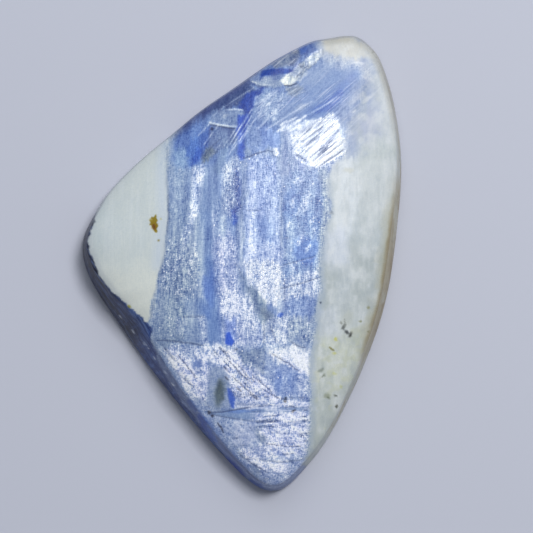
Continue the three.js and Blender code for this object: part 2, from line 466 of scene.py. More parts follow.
# the sparkling streak on the left
paint(stroke([(203, 160), (201, 172), (200, 185)], 9, 6, taper=0.4, rag=3, period=4), (190, 203, 232), 0.75, fleck=1.0)
paint(stroke([(198, 186), (197, 200), (196, 216)], 7, 5, taper=0.3, rag=2.5, period=4), (178, 194, 228), 0.7, fleck=0.95)
paint(stroke([(195, 215), (189, 232), (184, 250), (176, 272)], 7, 5, taper=0.4, rag=2, period=4), LAVENDER, 0.75, fleck=0.85)
paint(stroke([(196, 245), (198, 262)], 5, 4, taper=0.4, rag=2), LAVENDER, 0.6, fleck=0.9)
paint(spot(200, 181, 2.6, 2.6, soft=0.6, rag=0.8), WHITE, 0.95)
paint(spot(196, 216, 2.2, 1.8, soft=0.6, rag=0.8), WHITE, 0.9)
paint(spot(197, 254, 1.6, 2.6, soft=0.6, rag=0.8), WHITE, 0.8)
paint(smoothstep(212, 196, U) * smoothstep(195, 250, V), (144, 161, 187), 0.5)
# grey granular patch, lower left of the band
paint(polygon([(172, 240), (190, 245), (200, 262), (200, 290), (185, 300), (165, 296), (160, 280)], 10, 4), (138, 155, 186), 0.5, fleck=0.75)
# column of flecks between the blue ones
paint(stroke([(232, 160), (232, 190), (234, 212)], 17, 7, rag=3), (168, 184, 216), 0.75, fleck=0.85, net=0.5)
paint(stroke([(243, 112), (243, 140), (240, 156)], 6, 4, rag=1.5), (82, 112, 190), 0.7)
paint(stroke([(236, 172), (240, 192), (238, 208), (235, 226)], 5, 4, taper=0.5, rag=2.5, period=5), (84, 112, 182), 0.8)
paint(stroke([(234, 212), (236, 226)], 6, 4, taper=0.5, rag=2), ROYAL, 0.7)
paint(stroke([(219, 208), (220, 230), (221, 252)], 12, 6, rag=2), (156, 176, 212), 0.8, fleck=0.5)
paint(stroke([(214, 213), (215, 240)], 2.2, 2, taper=0.4), SILVER, 0.5)
paint(stroke([(229, 232), (230, 248), (231, 262)], 6, 4, taper=0.3, rag=1.5), (196, 208, 238), 0.75, fleck=0.8)
paint(stroke([(238, 230), (238, 250), (237, 262)], 5, 4, taper=0.3, rag=1.5), (112, 136, 186), 0.6, fleck=0.6)
paint(stroke([(226, 248), (227, 280), (232, 310), (236, 340)], 22, 8, rag=2.5), (190, 200, 232), 0.85, fleck=0.8, net=0.4)
paint(stroke([(223, 250), (224, 275), (226, 300)], 4, 3, rag=1.5), (214, 218, 244), 0.7, fleck=0.7)
paint(stroke([(218, 250), (219, 290), (222, 330)], 4, 4, rag=1.0), (92, 118, 180), 0.45)
# painted sheen: a near-white glossy patch where the cleavage catches light
paint(polygon([(224, 288), (236, 292), (244, 305), (246, 318), (232, 318), (224, 310)], 8, 4), (232, 237, 252), 0.85, fleck=0.9, gloss=0.8)
# periwinkle column
paint(polygon([(247, 160), (262, 156), (276, 160), (281, 190), (281, 262), (246, 262), (245, 220), (248, 190)], 6, 2.5), PERI, 0.85, fleck=0.58, net=0.15)
paint(stroke([(253, 165), (253, 200), (251, 240)], 6, 4, rag=1.5), (200, 213, 245), 0.7, fleck=0.55)
paint(stroke([(262, 190), (263, 215)], 7, 5, rag=2), (190, 206, 244), 0.6)
paint(polygon([(256, 220), (270, 220), (276, 232), (272, 243), (262, 238), (257, 228)], 6, 3), (146, 171, 222), 0.8, fleck=0.3, net=0.4)
paint(stroke([(278, 165), (279, 200), (280, 240)], 3, 3, rag=0.8), (150, 170, 210), 0.6)
paint(polygon([(246, 245), (281, 247), (282, 262), (246, 264)], 7, 3), (196, 208, 240), 0.7, fleck=0.5)
# very bright patch: painted sheen on the cleavage
paint(polygon([(243, 262), (254, 259), (270, 262), (281, 262), (281, 296), (276, 303), (266, 302), (257, 294), (250, 282), (244, 272)], 5, 3), (236, 241, 253), 0.95, fleck=0.5, net=0.95, gloss=0.8)
# smooth slate ribbon that cuts across
paint(stroke([(242, 276), (248, 289), (256, 303), (265, 314), (273, 323)], 6.5, 5, taper=0.3, rag=3.0, period=4), (134, 154, 190), 0.9, fleck=0.22, net=0.0, gloss=0.6)
paint(stroke([(237, 264), (243, 278), (250, 292), (258, 304)], 1.6, 1.8, taper=0.5, rag=1.6, period=4), (92, 108, 144), 0.35, relief=-0.01)
paint(stroke([(251, 292), (260, 307), (268, 319), (271, 328)], 15, 6, taper=0.3, rag=4, period=4), (122, 141, 172), 0.85, fleck=0.3, net=0.3)
paint(stroke([(262, 309), (268, 318)], 6, 4, taper=0.5, rag=2, period=4), (96, 113, 146), 0.7)
# right part of the band
paint(polygon([(284, 176), (320, 172), (326, 200), (322, 245), (320, 290), (284, 290)], 6, 3), (138, 163, 208), 0.85, fleck=0.62, net=0.3)
paint(polygon([(293, 240), (305, 236), (318, 240), (319, 262), (305, 266), (294, 258)], 7, 3), (106, 138, 204), 0.85, fleck=0.3, net=0.2)
paint(polygon([(284, 192), (296, 188), (299, 205), (290, 222), (284, 222)], 6, 3), (118, 148, 206), 0.7, fleck=0.45)
paint(polygon([(300, 215), (318, 212), (320, 232), (306, 234)], 6, 3), (124, 152, 204), 0.7, fleck=0.5)
for (a, b, w) in [((296, 217), (309, 195), 3.0), ((303, 214), (307, 203), 3.4), ((297, 246), (302, 236), 3.6), ((295, 187), (301, 178), 4.0),
                  ((290, 209), (293, 200), 3.0), ((300, 186), (303, 182), 2.5), ((308, 190), (312, 184), 2.0), ((286, 230), (289, 224), 2.6),
                  ((310, 225), (315, 215), 2.0), ((305, 252), (309, 246), 1.6), ((288, 262), (293, 270), 2.0), ((312, 236), (314, 229), 1.6)]:
    paint(stroke([a, b], w + 1.0, 2.6, taper=0.6, rag=2.2, period=2.4), (216, 227, 250), 0.62, fleck=1.0, relief=0.01)
paint(stroke([(321, 172), (325, 200), (322, 240), (320, 270)], 8, 6, rag=2), (150, 166, 188), 0.6, fleck=0.6)
paint(polygon([(283, 278), (302, 273), (320, 270), (320, 296), (300, 299), (283, 302)], 5, 3), (200, 210, 233), 0.75, fleck=0.85, net=0.3)
paint(polygon([(286, 300), (300, 296), (317, 298), (316, 316), (298, 318), (284, 316)], 6, 3), (120, 143, 196), 0.75, fleck=0.55)
paint(polygon([(262, 322), (278, 312), (290, 316), (289, 340), (272, 345), (258, 340)], 7, 3), (196, 206, 230), 0.7, fleck=0.85, net=0.4)
paint(polygon([(289, 318), (315, 314), (314, 338), (302, 343), (288, 338)], 6, 3), (148, 164, 192), 0.75, fleck=0.7)
paint(spot(280, 314, 3.2, 2.0, -20, soft=0.5, rag=0.8), (72, 108, 200), 0.9)
# left, above the first crack
paint(polygon([(158, 300), (178, 303), (178, 340), (158, 340)], 8, 3), (146, 163, 192), 0.5, fleck=0.5)
paint(polygon([(177, 317), (190, 316), (188, 333), (178, 334)], 3, 1.5), (160, 176, 206), 0.6, fleck=0.5)
paint(stroke([(204, 318), (206, 344)], 7, 4, rag=1.5), (170, 184, 216), 0.7, fleck=0.7)
# between the columns, v 310 to 345
paint(polygon([(226, 318), (236, 318), (238, 338), (226, 338)], 5, 2), (120, 145, 214), 0.7, fleck=0.4)
paint(polygon([(227, 331), (231, 330), (235, 341), (232, 344), (226, 342)], 2, 0.8), (62, 100, 212), 0.95, fleck=0.0)
paint(stroke([(244, 300), (250, 318), (256, 338)], 16, 7, rag=3), (196, 206, 234), 0.7, fleck=0.85, net=0.5)

# ---- lower part
paint(polygon([(160, 345), (308, 345), (311, 400), (308, 455), (262, 490), (235, 470), (190, 415)], 8, 2), (158, 176, 208), 0.85, fleck=0.5)
paint(polygon([(168, 344), (208, 345), (206, 385), (196, 392), (182, 378)], 6, 3), (184, 197, 226), 0.75, fleck=0.8)
# painted sheen: bright white streak on the flat face beside the dark side
paint(polygon([(165, 345), (174, 350), (188, 364), (194, 378), (194, 386), (186, 383), (176, 368), (166, 352)], 3.5, 1.8), (246, 248, 255), 0.97, fleck=0.55, gloss=0.9)
paint(stroke([(166, 347), (176, 357), (186, 372)], 1.6, 1.4, taper=0.5, rag=0.8), (96, 112, 150), 0.7, relief=-0.02)
paint(polygon([(193, 358), (202, 359), (203, 365), (195, 366)], 3, 1.2), (104, 130, 188), 0.75, fleck=0.1)
paint(stroke([(208, 347), (206, 365), (207, 384), (204, 398)], 5, 3, taper=0.3, rag=1.5), (226, 232, 250), 0.8, fleck=0.8)
paint(polygon([(207, 343), (218, 341), (232, 352), (237, 362), (238, 374), (228, 372), (216, 362), (208, 352)], 5, 2.5), (226, 232, 250), 0.9, fleck=0.85, gloss=0.75)
paint(stroke([(221, 346), (226, 350), (231, 352), (238, 347)], 2.4, 1.8, taper=0.4, rag=0.6), (112, 120, 150), 0.85, relief=-0.03)
paint(stroke([(221, 344), (225, 348)], 1.6, 1.2, taper=0.4), WHITE, 0.8)
paint(polygon([(210, 366), (226, 365), (233, 372), (232, 388), (230, 406), (214, 410), (208, 398)], 6, 2), (142, 160, 190), 0.85, fleck=0.12)
paint(spot(220.5, 390, 5.0, 12.5, 8, soft=0.55, rag=2.0), (84, 100, 110), 0.9, fleck=0.0)
paint(spot(220, 384, 2.2, 6.0, 4, soft=0.6, rag=1.0), (64, 78, 90), 0.6)
paint(polygon([(228, 385), (232, 386), (236, 396), (236, 406), (232, 406), (229, 396)], 2.5, 0.8), (66, 98, 188), 0.95, fleck=0.0)
paint(polygon([(237, 350), (262, 346), (264, 372), (256, 384), (240, 382)], 6, 3), (150, 166, 190), 0.8, fleck=0.5)
paint(stroke([(264, 346), (264, 358), (263, 372)], 1.6, 1.4, taper=0.5), (110, 128, 165), 0.7, relief=-0.015)
paint(stroke([(258, 350), (258, 366)], 1.2, 1.2, taper=0.5), (128, 144, 176), 0.5)
# painted sheen on this bright patch
paint(polygon([(232, 378), (246, 378), (262, 384), (274, 392), (270, 401), (240, 400), (232, 390)], 5, 3), (212, 220, 242), 0.85, fleck=0.95, net=0.4, gloss=0.75)
paint(polygon([(272, 364), (284, 362), (298, 372), (297, 392), (284, 398), (274, 389)], 9, 3), (142, 163, 205), 0.9, fleck=0.45)
paint(stroke([(278, 370), (279, 390)], 6, 6, taper=0.6, rag=2), (108, 136, 196), 0.6)
paint(stroke([(289, 372), (290, 388)], 4, 4, taper=0.6, rag=2), (116, 143, 198), 0.5)
paint(polygon([(297, 374), (309, 376), (310, 402), (298, 400)], 5, 2), (176, 190, 218), 0.75, fleck=0.7)
# painted sheen: the brightest patch of the lower part
paint(polygon([(267, 350), (280, 346), (296, 342.5), (308, 346), (310, 372), (303, 371), (292, 366), (281, 360), (272, 356)], 4, 2.2), (250, 252, 255), 0.98, fleck=0.3, net=0.35, gloss=0.95)
paint(stroke([(270, 347), (280, 354), (290, 362), (302, 371)], 5, 4, rag=1.5), (222, 230, 248), 0.7, fleck=0.7)
paint(polygon([(292, 338), (302, 342), (308, 346), (306, 350), (296, 347)], 3, 1), (150, 168, 200), 0.6)

# ---- bands across, the wedge and the tip
paint(polygon([(236, 400), (272, 402), (309, 400), (309, 408), (272, 408), (236, 406)], 3, 1), (206, 215, 236), 0.85, fleck=0.5)
paint(stroke([(236, 402.5), (254, 402), (272, 402.5)], 1.3, 1.2, taper=0.2), (112, 130, 168), 0.75, relief=-0.02)
paint(stroke([(236, 405.5), (250, 405.8), (270, 406.5)], 1.3, 1.2, taper=0.2), (240, 245, 254), 0.7)
paint(polygon([(209.5, 410.5), (237, 406.5), (262, 404.5), (300, 405), (309, 408), (268, 409.5), (257, 414), (248, 417.5), (236, 416.5), (222, 414)], 2.5, 1.2), (124, 148, 188), 0.9, fleck=0.05, net=0.0, gloss=0.65)
paint(polygon([(222, 409), (240, 407), (262, 407), (240, 411)], 2.5, 0.8), (100, 132, 196), 0.7)
paint(stroke([(210, 410.5), (224, 409.2), (237, 406.8), (252, 404.2), (268, 402.6)], 1.5, 1.2, taper=0.3), (70, 86, 124), 0.8, relief=-0.035)
paint(stroke([(211, 411.5), (222, 414), (235, 416), (246, 417.8), (257, 419)], 1.3, 1.2, taper=0.3), (84, 100, 138), 0.7, relief=-0.03)
paint(spot(209.8, 410.2, 2.2, 1.8, 30, soft=0.4, rag=0.6), (40, 42, 58), 0.95, relief=-0.05)
paint(spot(213.2, 413.6, 1.6, 1.4, 0, soft=0.4, rag=0.5), (52, 56, 76), 0.9, relief=-0.04)
# painted sheen: bright strip below the crossing bands
paint(polygon([(256, 411), (309, 409), (310, 420), (268, 421), (257, 418)], 3.5, 1.8), (226, 232, 249), 0.92, fleck=0.75, gloss=0.8)
paint(stroke([(284, 419), (297, 419.5)], 1.2, 1.0, taper=0.4), (110, 126, 162), 0.7)
paint(polygon([(235, 417), (256, 420), (258, 436), (246, 448), (234, 440)], 5, 2), (178, 191, 218), 0.85, fleck=0.2)
paint(polygon([(264, 421), (310, 420), (309, 452), (268, 455), (262, 440)], 5, 2.5), (212, 220, 242), 0.9, fleck=0.75, net=0.2)
paint(spot(261, 433, 4.5, 9.0, -25, soft=0.7, rag=1.5), (116, 134, 160), 0.7, fleck=0.1)
paint(polygon([(244, 446), (262, 442), (268, 454), (254, 460), (244, 456)], 5, 2.5), (202, 211, 234), 0.75, fleck=0.75)
paint(polygon([(246, 461), (304, 459), (296, 474), (282, 484), (262, 484), (246, 472)], 6, 2), (156, 172, 204), 0.85, fleck=0.55)
paint(polygon([(270, 460), (288, 460), (286, 470), (274, 470)], 5, 2.5), (214, 221, 240), 0.8, fleck=0.85)
paint(polygon([(250, 462), (258, 462), (262, 480), (254, 480)], 5, 2), (140, 156, 178), 0.6)
paint(stroke([(247, 455.5), (262, 457.5), (282, 459.5), (300, 458), (306, 455)], 1.4, 1.3, taper=0.3, rag=0.8), (104, 120, 154), 0.75, relief=-0.03)
paint(stroke([(290, 449), (300, 451), (306, 446)], 3, 2.5, taper=0.3, rag=1), (228, 234, 248), 0.7, fleck=0.8)
for (a, b) in [((221, 423), (224, 430)), ((218, 420), (221, 425)), ((225, 364), (230, 371)), ((237, 385), (242, 389)), ((249, 391), (258, 397)), ((244, 380), (248, 384)), ((226, 374), (229, 378))]:
    paint(stroke([a, b], 1.5, 1.1, taper=0.7), (58, 64, 88), 0.85, relief=-0.03)
paint(spot(285.2, 397.6, 1.5, 2.8, 10, soft=0.35, rag=0.8), (34, 38, 52), 0.95, relief=-0.05)
paint(spot(288.5, 397.0, 1.0, 2.0, 0, soft=0.4), (220, 226, 240), 0.8)
paint(spot(293, 408.2, 2.4, 1.2, -20, soft=0.35, rag=0.6), (38, 42, 56), 0.95, relief=-0.05)

# silvery ripples, their bright crests painted sheen: level near the wedge, running down to the right elsewhere
DOWN = 0.68 * U + 0.73 * V
OVER = -0.73 * U + 0.68 * V
level = fbm(U / 17.0, V / 1.9 + 0.05 * U, 191, 3)
slant = fbm(OVER / 2.0, DOWN / 15.0, 195, 3)
zone_level = polygon([(234, 388), (262, 392), (311, 396), (311, 430), (262, 428), (250, 410), (234, 404)], 9, 3)
zone_slant = np.clip(polygon([(160, 344), (176, 346), (200, 384), (214, 420), (196, 410), (172, 380)], 8, 3) + polygon([(206, 346), (234, 350), (262, 380), (276, 398), (250, 398), (226, 372)], 8, 3), 0, 1)
zone_tip = polygon([(222, 424), (262, 420), (309, 426), (306, 455), (282, 480), (250, 470)], 12, 3)
for zone, waves, o in ((zone_level, level, 1.0), (zone_slant, slant, 0.9), (zone_tip, 0.6 * slant + 0.6 * level, 0.6)):
    paint(zone * smoothstep(0.03, 0.17, waves), (236, 241, 253), 0.55 * o, relief=0.008)
    paint(zone * smoothstep(0.03, 0.17, -waves), (118, 137, 176), 0.55 * o, relief=-0.008)
    paint(zone * smoothstep(0.17, 0.26, -waves), (66, 80, 116), 0.6 * o, relief=-0.012)

# pale streaks with painted sheen, running down to the right, with fine cracks beside them
for pts, w, o in [([(174, 350), (186, 363), (197, 380), (202, 392)], 9, 0.8), ([(231, 350), (244, 368), (261, 385), (277, 397)], 10, 0.8), ([(226, 366), (242, 382), (256, 394)], 4, 0.7),
                  ([(248, 362), (260, 372), (272, 388)], 4, 0.5), ([(196, 346), (204, 356), (210, 372)], 5, 0.5), ([(262, 428), (276, 436), (300, 440)], 6, 0.6), ([(244, 448), (262, 462), (284, 468)], 6, 0.6)]:
    paint(stroke(pts, w, 3.5, taper=0.4, rag=2.2, period=5), (234, 238, 254), o, fleck=0.75, gloss=0.75, relief=0.006)
for pts, w in [([(228, 356), (240, 370), (252, 381)], 1.1), ([(233, 374), (245, 385), (259, 396)], 1.2), ([(180, 354), (190, 366), (198, 377)], 1.0), ([(252, 372), (262, 381), (272, 390)], 1.0), ([(272, 352), (286, 360), (300, 370)], 1.0),
               ([(238, 362), (248, 374), (256, 380)], 0.9), ([(262, 386), (272, 392), (282, 397)], 1.0), ([(240, 452), (254, 462), (268, 470)], 0.9), ([(266, 440), (280, 443), (300, 444)], 0.9)]:
    paint(stroke(pts, w, 1.0, taper=0.5, rag=1.0, period=3), (70, 82, 118), 0.75, relief=-0.02)

# ---- blue along the lower left edge
paint(stroke([(163, 359), (176, 381), (190, 401), (203, 420)], 8, 4, taper=0.2, rag=2), (110, 136, 182), 0.8, fleck=0.15, gloss=0.6)
paint(stroke([(161, 354), (173, 376), (187, 396)], 1.6, 1.4, taper=0.5, rag=0.8, period=4), (58, 78, 130), 0.65, relief=-0.01)
paint(stroke([(170, 366), (182, 386), (196, 406)], 1.3, 1.2, taper=0.5, rag=0.8, period=4), (160, 176, 208), 0.6)
paint(stroke([(196, 408), (206, 424), (222, 446), (238, 466), (256, 483)], 15, 10, rag=2), (128, 150, 196), 0.8, fleck=0.3)
paint(stroke([(197, 410), (204, 426), (212, 440)], 9, 6, taper=0.5, rag=2), (70, 102, 184), 0.9, fleck=0.05)
paint(stroke([(206, 418), (214, 432), (224, 446)], 8, 7, taper=0.5, rag=2), (104, 134, 202), 0.7, fleck=0.2)
paint(stroke([(220, 444), (229, 457), (237, 466)], 10, 6, taper=0.4, rag=2), (92, 122, 194), 0.85, fleck=0.1)
paint(stroke([(230, 460), (238, 469), (244, 475)], 7, 4, taper=0.4, rag=1.5), (52, 82, 172), 0.95, fleck=0.0)
paint(stroke([(250, 479), (258, 484), (266, 487)], 5, 4, taper=0.4, rag=1.5), (70, 96, 166), 0.85, fleck=0.0)
paint(stroke([(246, 476), (262, 487), (274, 490), (288, 486), (302, 471)], 6, 4, rag=1), (108, 130, 178), 0.75, fleck=0.1)
paint(stroke([(186, 398), (196, 412), (208, 428)], 8, 6, rag=2), (150, 168, 200), 0.4, fleck=0.4)

# ---- upper left
ALONG = 0.766 * U - 0.643 * V                           # along the polishing scratches, up to the right
ACROSS = 0.643 * U + 0.766 * V
brush = fbm(ACROSS / 3.2, ALONG / 55.0, 75, 3)          # brushed streaks in that direction
brush_wide = fbm(ACROSS / 9.0, ALONG / 90.0, 78, 2)
puff = fbm(U / 12.0, V / 10.0, 79, 3)
near_facet = smoothstep(74, 104, V)                     # the scratches thin out towards the tip
comb = brush * (0.25 + 0.75 * near_facet)
paint(polygon([(168, 132), (210, 100), (262, 66), (300, 46), (322, 38), (330, 60), (300, 95), (282, 120), (278, 132), (245, 150), (228, 165), (205, 168), (180, 170), (168, 160)], 8, 2), (104, 130, 184), 0.92, fleck=0.2, net=0.0)
paint(polygon([(176, 124), (198, 118), (206, 130), (200, 146), (186, 152), (174, 146)], 8, 3), (92, 120, 184), 0.8)
paint(stroke([(172, 132), (188, 122), (206, 109), (222, 98), (240, 86), (252, 79)], 15, 9, rag=2), (66, 80, 130), 0.9)
paint(stroke([(204, 112), (220, 102), (238, 91)], 9, 6, rag=2), (62, 76, 130), 0.7)
paint(polygon([(214, 106), (238, 92), (250, 86), (256, 92), (246, 104), (226, 112), (212, 114)], 6, 2.5), (64, 80, 128), 0.85)
paint(polygon([(242, 100), (252, 93), (264, 90), (261, 100), (254, 110), (248, 118), (242, 118), (240, 108)], 4, 2), (40, 68, 156), 0.95)
paint(polygon([(213, 113), (228, 110), (245, 112), (246, 122), (238, 128), (224, 127), (210, 124)], 4, 2), (126, 146, 184), 0.9)
paint(stroke([(216, 119), (230, 116), (243, 118)], 4, 4, rag=2), (142, 160, 196), 0.5)
paint(stroke([(227, 112), (235, 111.5), (243, 112.5)], 1.5, 1.2, taper=0.4), (206, 218, 236), 0.85, relief=0.015)
paint(polygon([(196, 136), (206, 132), (210, 144), (206, 156), (200, 166), (190, 168), (186, 156), (190, 146)], 9, 4), (72, 106, 182), 0.9)
paint(polygon([(198, 150), (205, 146), (203, 158), (197, 166), (192, 166)], 4, 2.5), (52, 86, 176), 0.8)
paint(polygon([(200, 130), (211, 128), (211, 146), (204, 152), (199, 142)], 4, 2), (74, 104, 176), 0.8)
paint(polygon([(176, 150), (188, 152), (188, 168), (176, 172)], 7, 3), (132, 160, 200), 0.7)
paint(polygon([(211, 128), (238, 131), (237, 142), (226, 150), (214, 154), (209, 148)], 3.5, 1.5), (92, 112, 160), 0.92)
paint(polygon([(216, 134), (230, 136), (226, 146), (216, 148)], 5, 2), (112, 134, 178), 0.6)
paint(polygon([(204, 152), (212, 149), (218, 154), (210, 163), (204, 166)], 4, 1.5), (98, 113, 134), 0.85)
paint(stroke([(210.5, 124.5), (220, 127), (230, 128.5), (238, 129)], 2.0, 1.4, taper=0.3), (210, 220, 233), 0.95, relief=0.02)
paint(stroke([(211, 126.8), (224, 129.4), (239, 131.8)], 1.3, 1.1, taper=0.3), (46, 60, 104), 0.85, relief=-0.03)
paint(spot(212.6, 131, 1.6, 1.6, soft=0.35), (34, 46, 88), 0.95, relief=-0.04)
paint(stroke([(211, 128), (210, 140), (206, 150)], 1.6, 1.6, taper=0.3, rag=0.6), (52, 74, 140), 0.7)
paint(polygon([(239, 118), (248, 117), (249, 128), (245, 141), (239, 143), (236, 132)], 3.5, 1.5), (46, 78, 178), 0.95)
paint(stroke([(243, 138), (241, 150), (242, 159)], 6, 4, rag=1.5), (66, 100, 196), 0.9)
paint(stroke([(228, 146), (222, 158), (218, 172)], 8, 5, rag=1.5), (112, 136, 176), 0.6)
paint(polygon([(258, 98), (276, 92), (298, 98), (302, 118), (280, 126), (260, 122), (254, 112)], 9, 3), (146, 166, 203), 0.9, fleck=0.4, scratch=0.45)
ripple = fbm(ACROSS / 2.6 + 1.2 * puff, ALONG / 6.0, 181, 3)
paint(polygon([(258, 98), (276, 92), (300, 96), (304, 118), (280, 126), (260, 122), (254, 112)], 9, 3) * smoothstep(0.04, 0.2, ripple), (198, 210, 232), 0.7)
paint(polygon([(258, 98), (276, 92), (300, 96), (304, 118), (280, 126), (260, 122), (254, 112)], 9, 3) * smoothstep(0.04, 0.2, -ripple), (112, 136, 184), 0.55)
paint(polygon([(247, 132), (262, 128), (280, 134), (278, 150), (258, 154), (247, 150)], 6, 3), (140, 166, 220), 0.85, fleck=0.22)
paint(polygon([(248, 128), (260, 130), (262, 148), (250, 152)], 5, 2.5), (154, 174, 208), 0.6, fleck=0.3)
paint(stroke([(243, 160.5), (252, 158), (262, 154.5), (268, 153.5), (273, 155)], 1.4, 1.1, taper=0.3, rag=0.8), (70, 90, 138), 0.85, relief=-0.03)
paint(polygon([(273, 151), (277, 150.5), (278.5, 155), (277.5, 158.8), (274.5, 158), (272.6, 155)], 1.2, 0.5, torn=0.0), WHITE, 1.0, relief=0.03)
# top edge
paint(polygon([(250, 80), (262, 70), (286, 70), (290, 78), (276, 84), (256, 86)], 5, 2), (112, 132, 178), 0.85)
paint(polygon([(262, 73), (272, 70.5), (287, 71), (294, 73), (284, 76.5), (268, 78), (260, 79)], 2.5, 1.2, torn=0.2), (38, 70, 156), 0.97)
paint(polygon([(270, 66), (282, 57), (298, 48), (301, 58), (292, 68), (276, 70)], 4, 1.5, torn=0.3), (104, 118, 150), 0.9, fleck=0.3, scratch=0.5)
paint(stroke([(276, 64), (288, 58), (297, 53)], 2, 1.8, taper=0.5, rag=1), (150, 158, 176), 0.6)
paint(spot(294.5, 53.5, 3.2, 3.0, 30, soft=0.6, rag=1.4, period=3), (140, 144, 158), 0.7, fleck=0.6)
paint(polygon([(299.5, 46), (306, 42), (320, 39), (323, 43), (316, 51), (306, 58), (300, 58)], 2.5, 1.0, torn=0.0), (84, 108, 166), 0.95)
paint(polygon([(300, 47), (306, 45), (308, 54), (301, 57)], 2.5, 0.8), (72, 100, 170), 0.8)
paint(polygon([(254, 83), (264, 80), (280, 81), (283, 88), (268, 90), (257, 88)], 4, 1.5), (146, 162, 190), 0.9)
paint(stroke([(252, 83.5), (262, 87.5), (274, 87)], 1.4, 1.2, taper=0.4), (178, 190, 208), 0.75)
paint(stroke([(249, 84), (258, 88.5), (268, 89.5)], 1.6, 1.4, taper=0.4), (66, 84, 136), 0.7)
# the blue wash in the upper right, brushed along the scratches
wash = smoothstep(0.30, 0.72, polygon([(296, 78), (318, 68), (346, 66), (358, 72), (358, 83), (350, 99), (341, 122), (300, 124), (282, 126), (284, 102)], 26, 2, torn=0.0) + 0.7 * comb + 0.35 * puff)
paint(wash, (116, 140, 188), 0.92, fleck=0.03, scratch=0.12, gloss=0.05)
paint(wash * near_facet, None, 1.0, scratch=0.42)
paint(wash * smoothstep(0.0, 0.2, -comb - 0.3 * brush_wide - 0.3 * puff), (104, 130, 188), 0.6)
paint(wash * smoothstep(0.02, 0.22, comb + 0.2 * brush_wide + 0.3 * puff), (148, 167, 204), 0.5)
deep = smoothstep(0.3, 0.75, stroke([(308, 118), (324, 111), (337, 99), (345, 88)], 16, 16, taper=0.4) + 0.6 * comb)
paint(deep, (94, 124, 184), 0.85)
paint(smoothstep(0.3, 0.8, stroke([(314, 114), (325, 110), (335, 101), (340, 94)], 9, 8, taper=0.5) + 0.6 * comb), (70, 104, 180), 0.9)
paint(smoothstep(0.3, 0.8, stroke([(303, 104), (320, 90), (336, 78)], 12, 12, taper=0.4) + 0.5 * comb), (118, 143, 192), 0.55)
paint(polygon([(318, 58), (345, 58), (364, 62), (364, 68), (346, 73), (326, 70)], 12, 2, torn=0.0), (178, 188, 208), 0.8, scratch=0.0)
paint(polygon([(302, 72), (316, 60), (336, 62), (332, 78), (312, 92), (298, 90)], 16, 3, torn=0.0), (150, 168, 202), 0.65)

# ---- the broad bright facet, scratched by polishing: its near-white is partly the frosting of the scratches and partly a painted highlight
paint(polygon([(282, 132), (300, 125), (332, 117), (338, 124), (338, 133), (345, 146), (344, 157), (326, 167), (310, 171), (300, 160), (290, 150)], 6, 2), (214, 224, 243), 0.8, scratch=0.5, gloss=0.8, fleck=0.3)
highlight_facet = smoothstep(0.38, 0.7, polygon([(299, 131), (316, 122), (332, 115), (338, 123), (338, 131), (346, 147), (343, 158), (326, 167), (312, 171), (301, 160), (293, 151), (289, 139)], 6, 1.6) + 0.55 * brush)
paint(highlight_facet, (244, 248, 255), 0.98, scratch=1.0, gloss=0.85, fleck=0.0, net=0.0)
paint(highlight_facet * smoothstep(0.04, 0.18, -brush), (196, 208, 236), 0.6, gloss=0.5)
paint(highlight_facet * smoothstep(0.08, 0.22, fbm(ACROSS / 1.5, ALONG / 16.0, 175, 2)), (118, 136, 180), 0.55, gloss=0.1, relief=-0.008)
for (a, b, w) in [((278, 134), (290, 127), 4.0), ((286, 132), (300, 122), 4.0), ((280, 128), (296, 120), 2.4), ((290, 134), (301, 127), 3.0), ((300, 122), (306, 118), 2.0)]:
    paint(stroke([a, b], w, 1.6, taper=0.6, rag=1.0, period=3), (242, 247, 255), 0.9, relief=0.01)
paint(polygon([(289, 138), (301, 134), (302, 158), (296, 160), (290, 152)], 4, 2.5), (234, 240, 252), 0.85, fleck=0.6)
paint(stroke([(295, 157), (300, 160), (304, 163)], 2.4, 1.4, taper=0.4), (86, 110, 160), 0.85, relief=-0.02)
paint(stroke([(295, 159.5), (302, 165), (307, 167)], 2.0, 1.4, taper=0.4), WHITE, 0.9)
for k, (a, b) in enumerate([((309, 160), (330, 143)), ((311, 164), (336, 144)), ((313, 167), (342, 145)), ((316, 158), (327, 149)), ((318, 169), (341, 153)), ((306, 134), (312, 129)), ((322, 160), (335, 150)), ((308, 140), (322, 129)), ((322, 136), (334, 126)),
                          ((300, 152), (318, 139)), ((327, 163), (343, 152)), ((304, 147), (316, 138)), ((326, 148), (338, 139)), ((314, 131), (326, 123))]):
    paint(stroke([a, b], 1.1, 1.0, taper=0.5, rag=0.4), (92, 106, 146), 0.85 if k < 7 else 0.55, gloss=0.1, relief=-0.015)
paint(stroke([(318, 170), (330, 166), (344, 154)], 3.5, 3, rag=1.5, period=4), (216, 224, 242), 0.7, fleck=0.8)
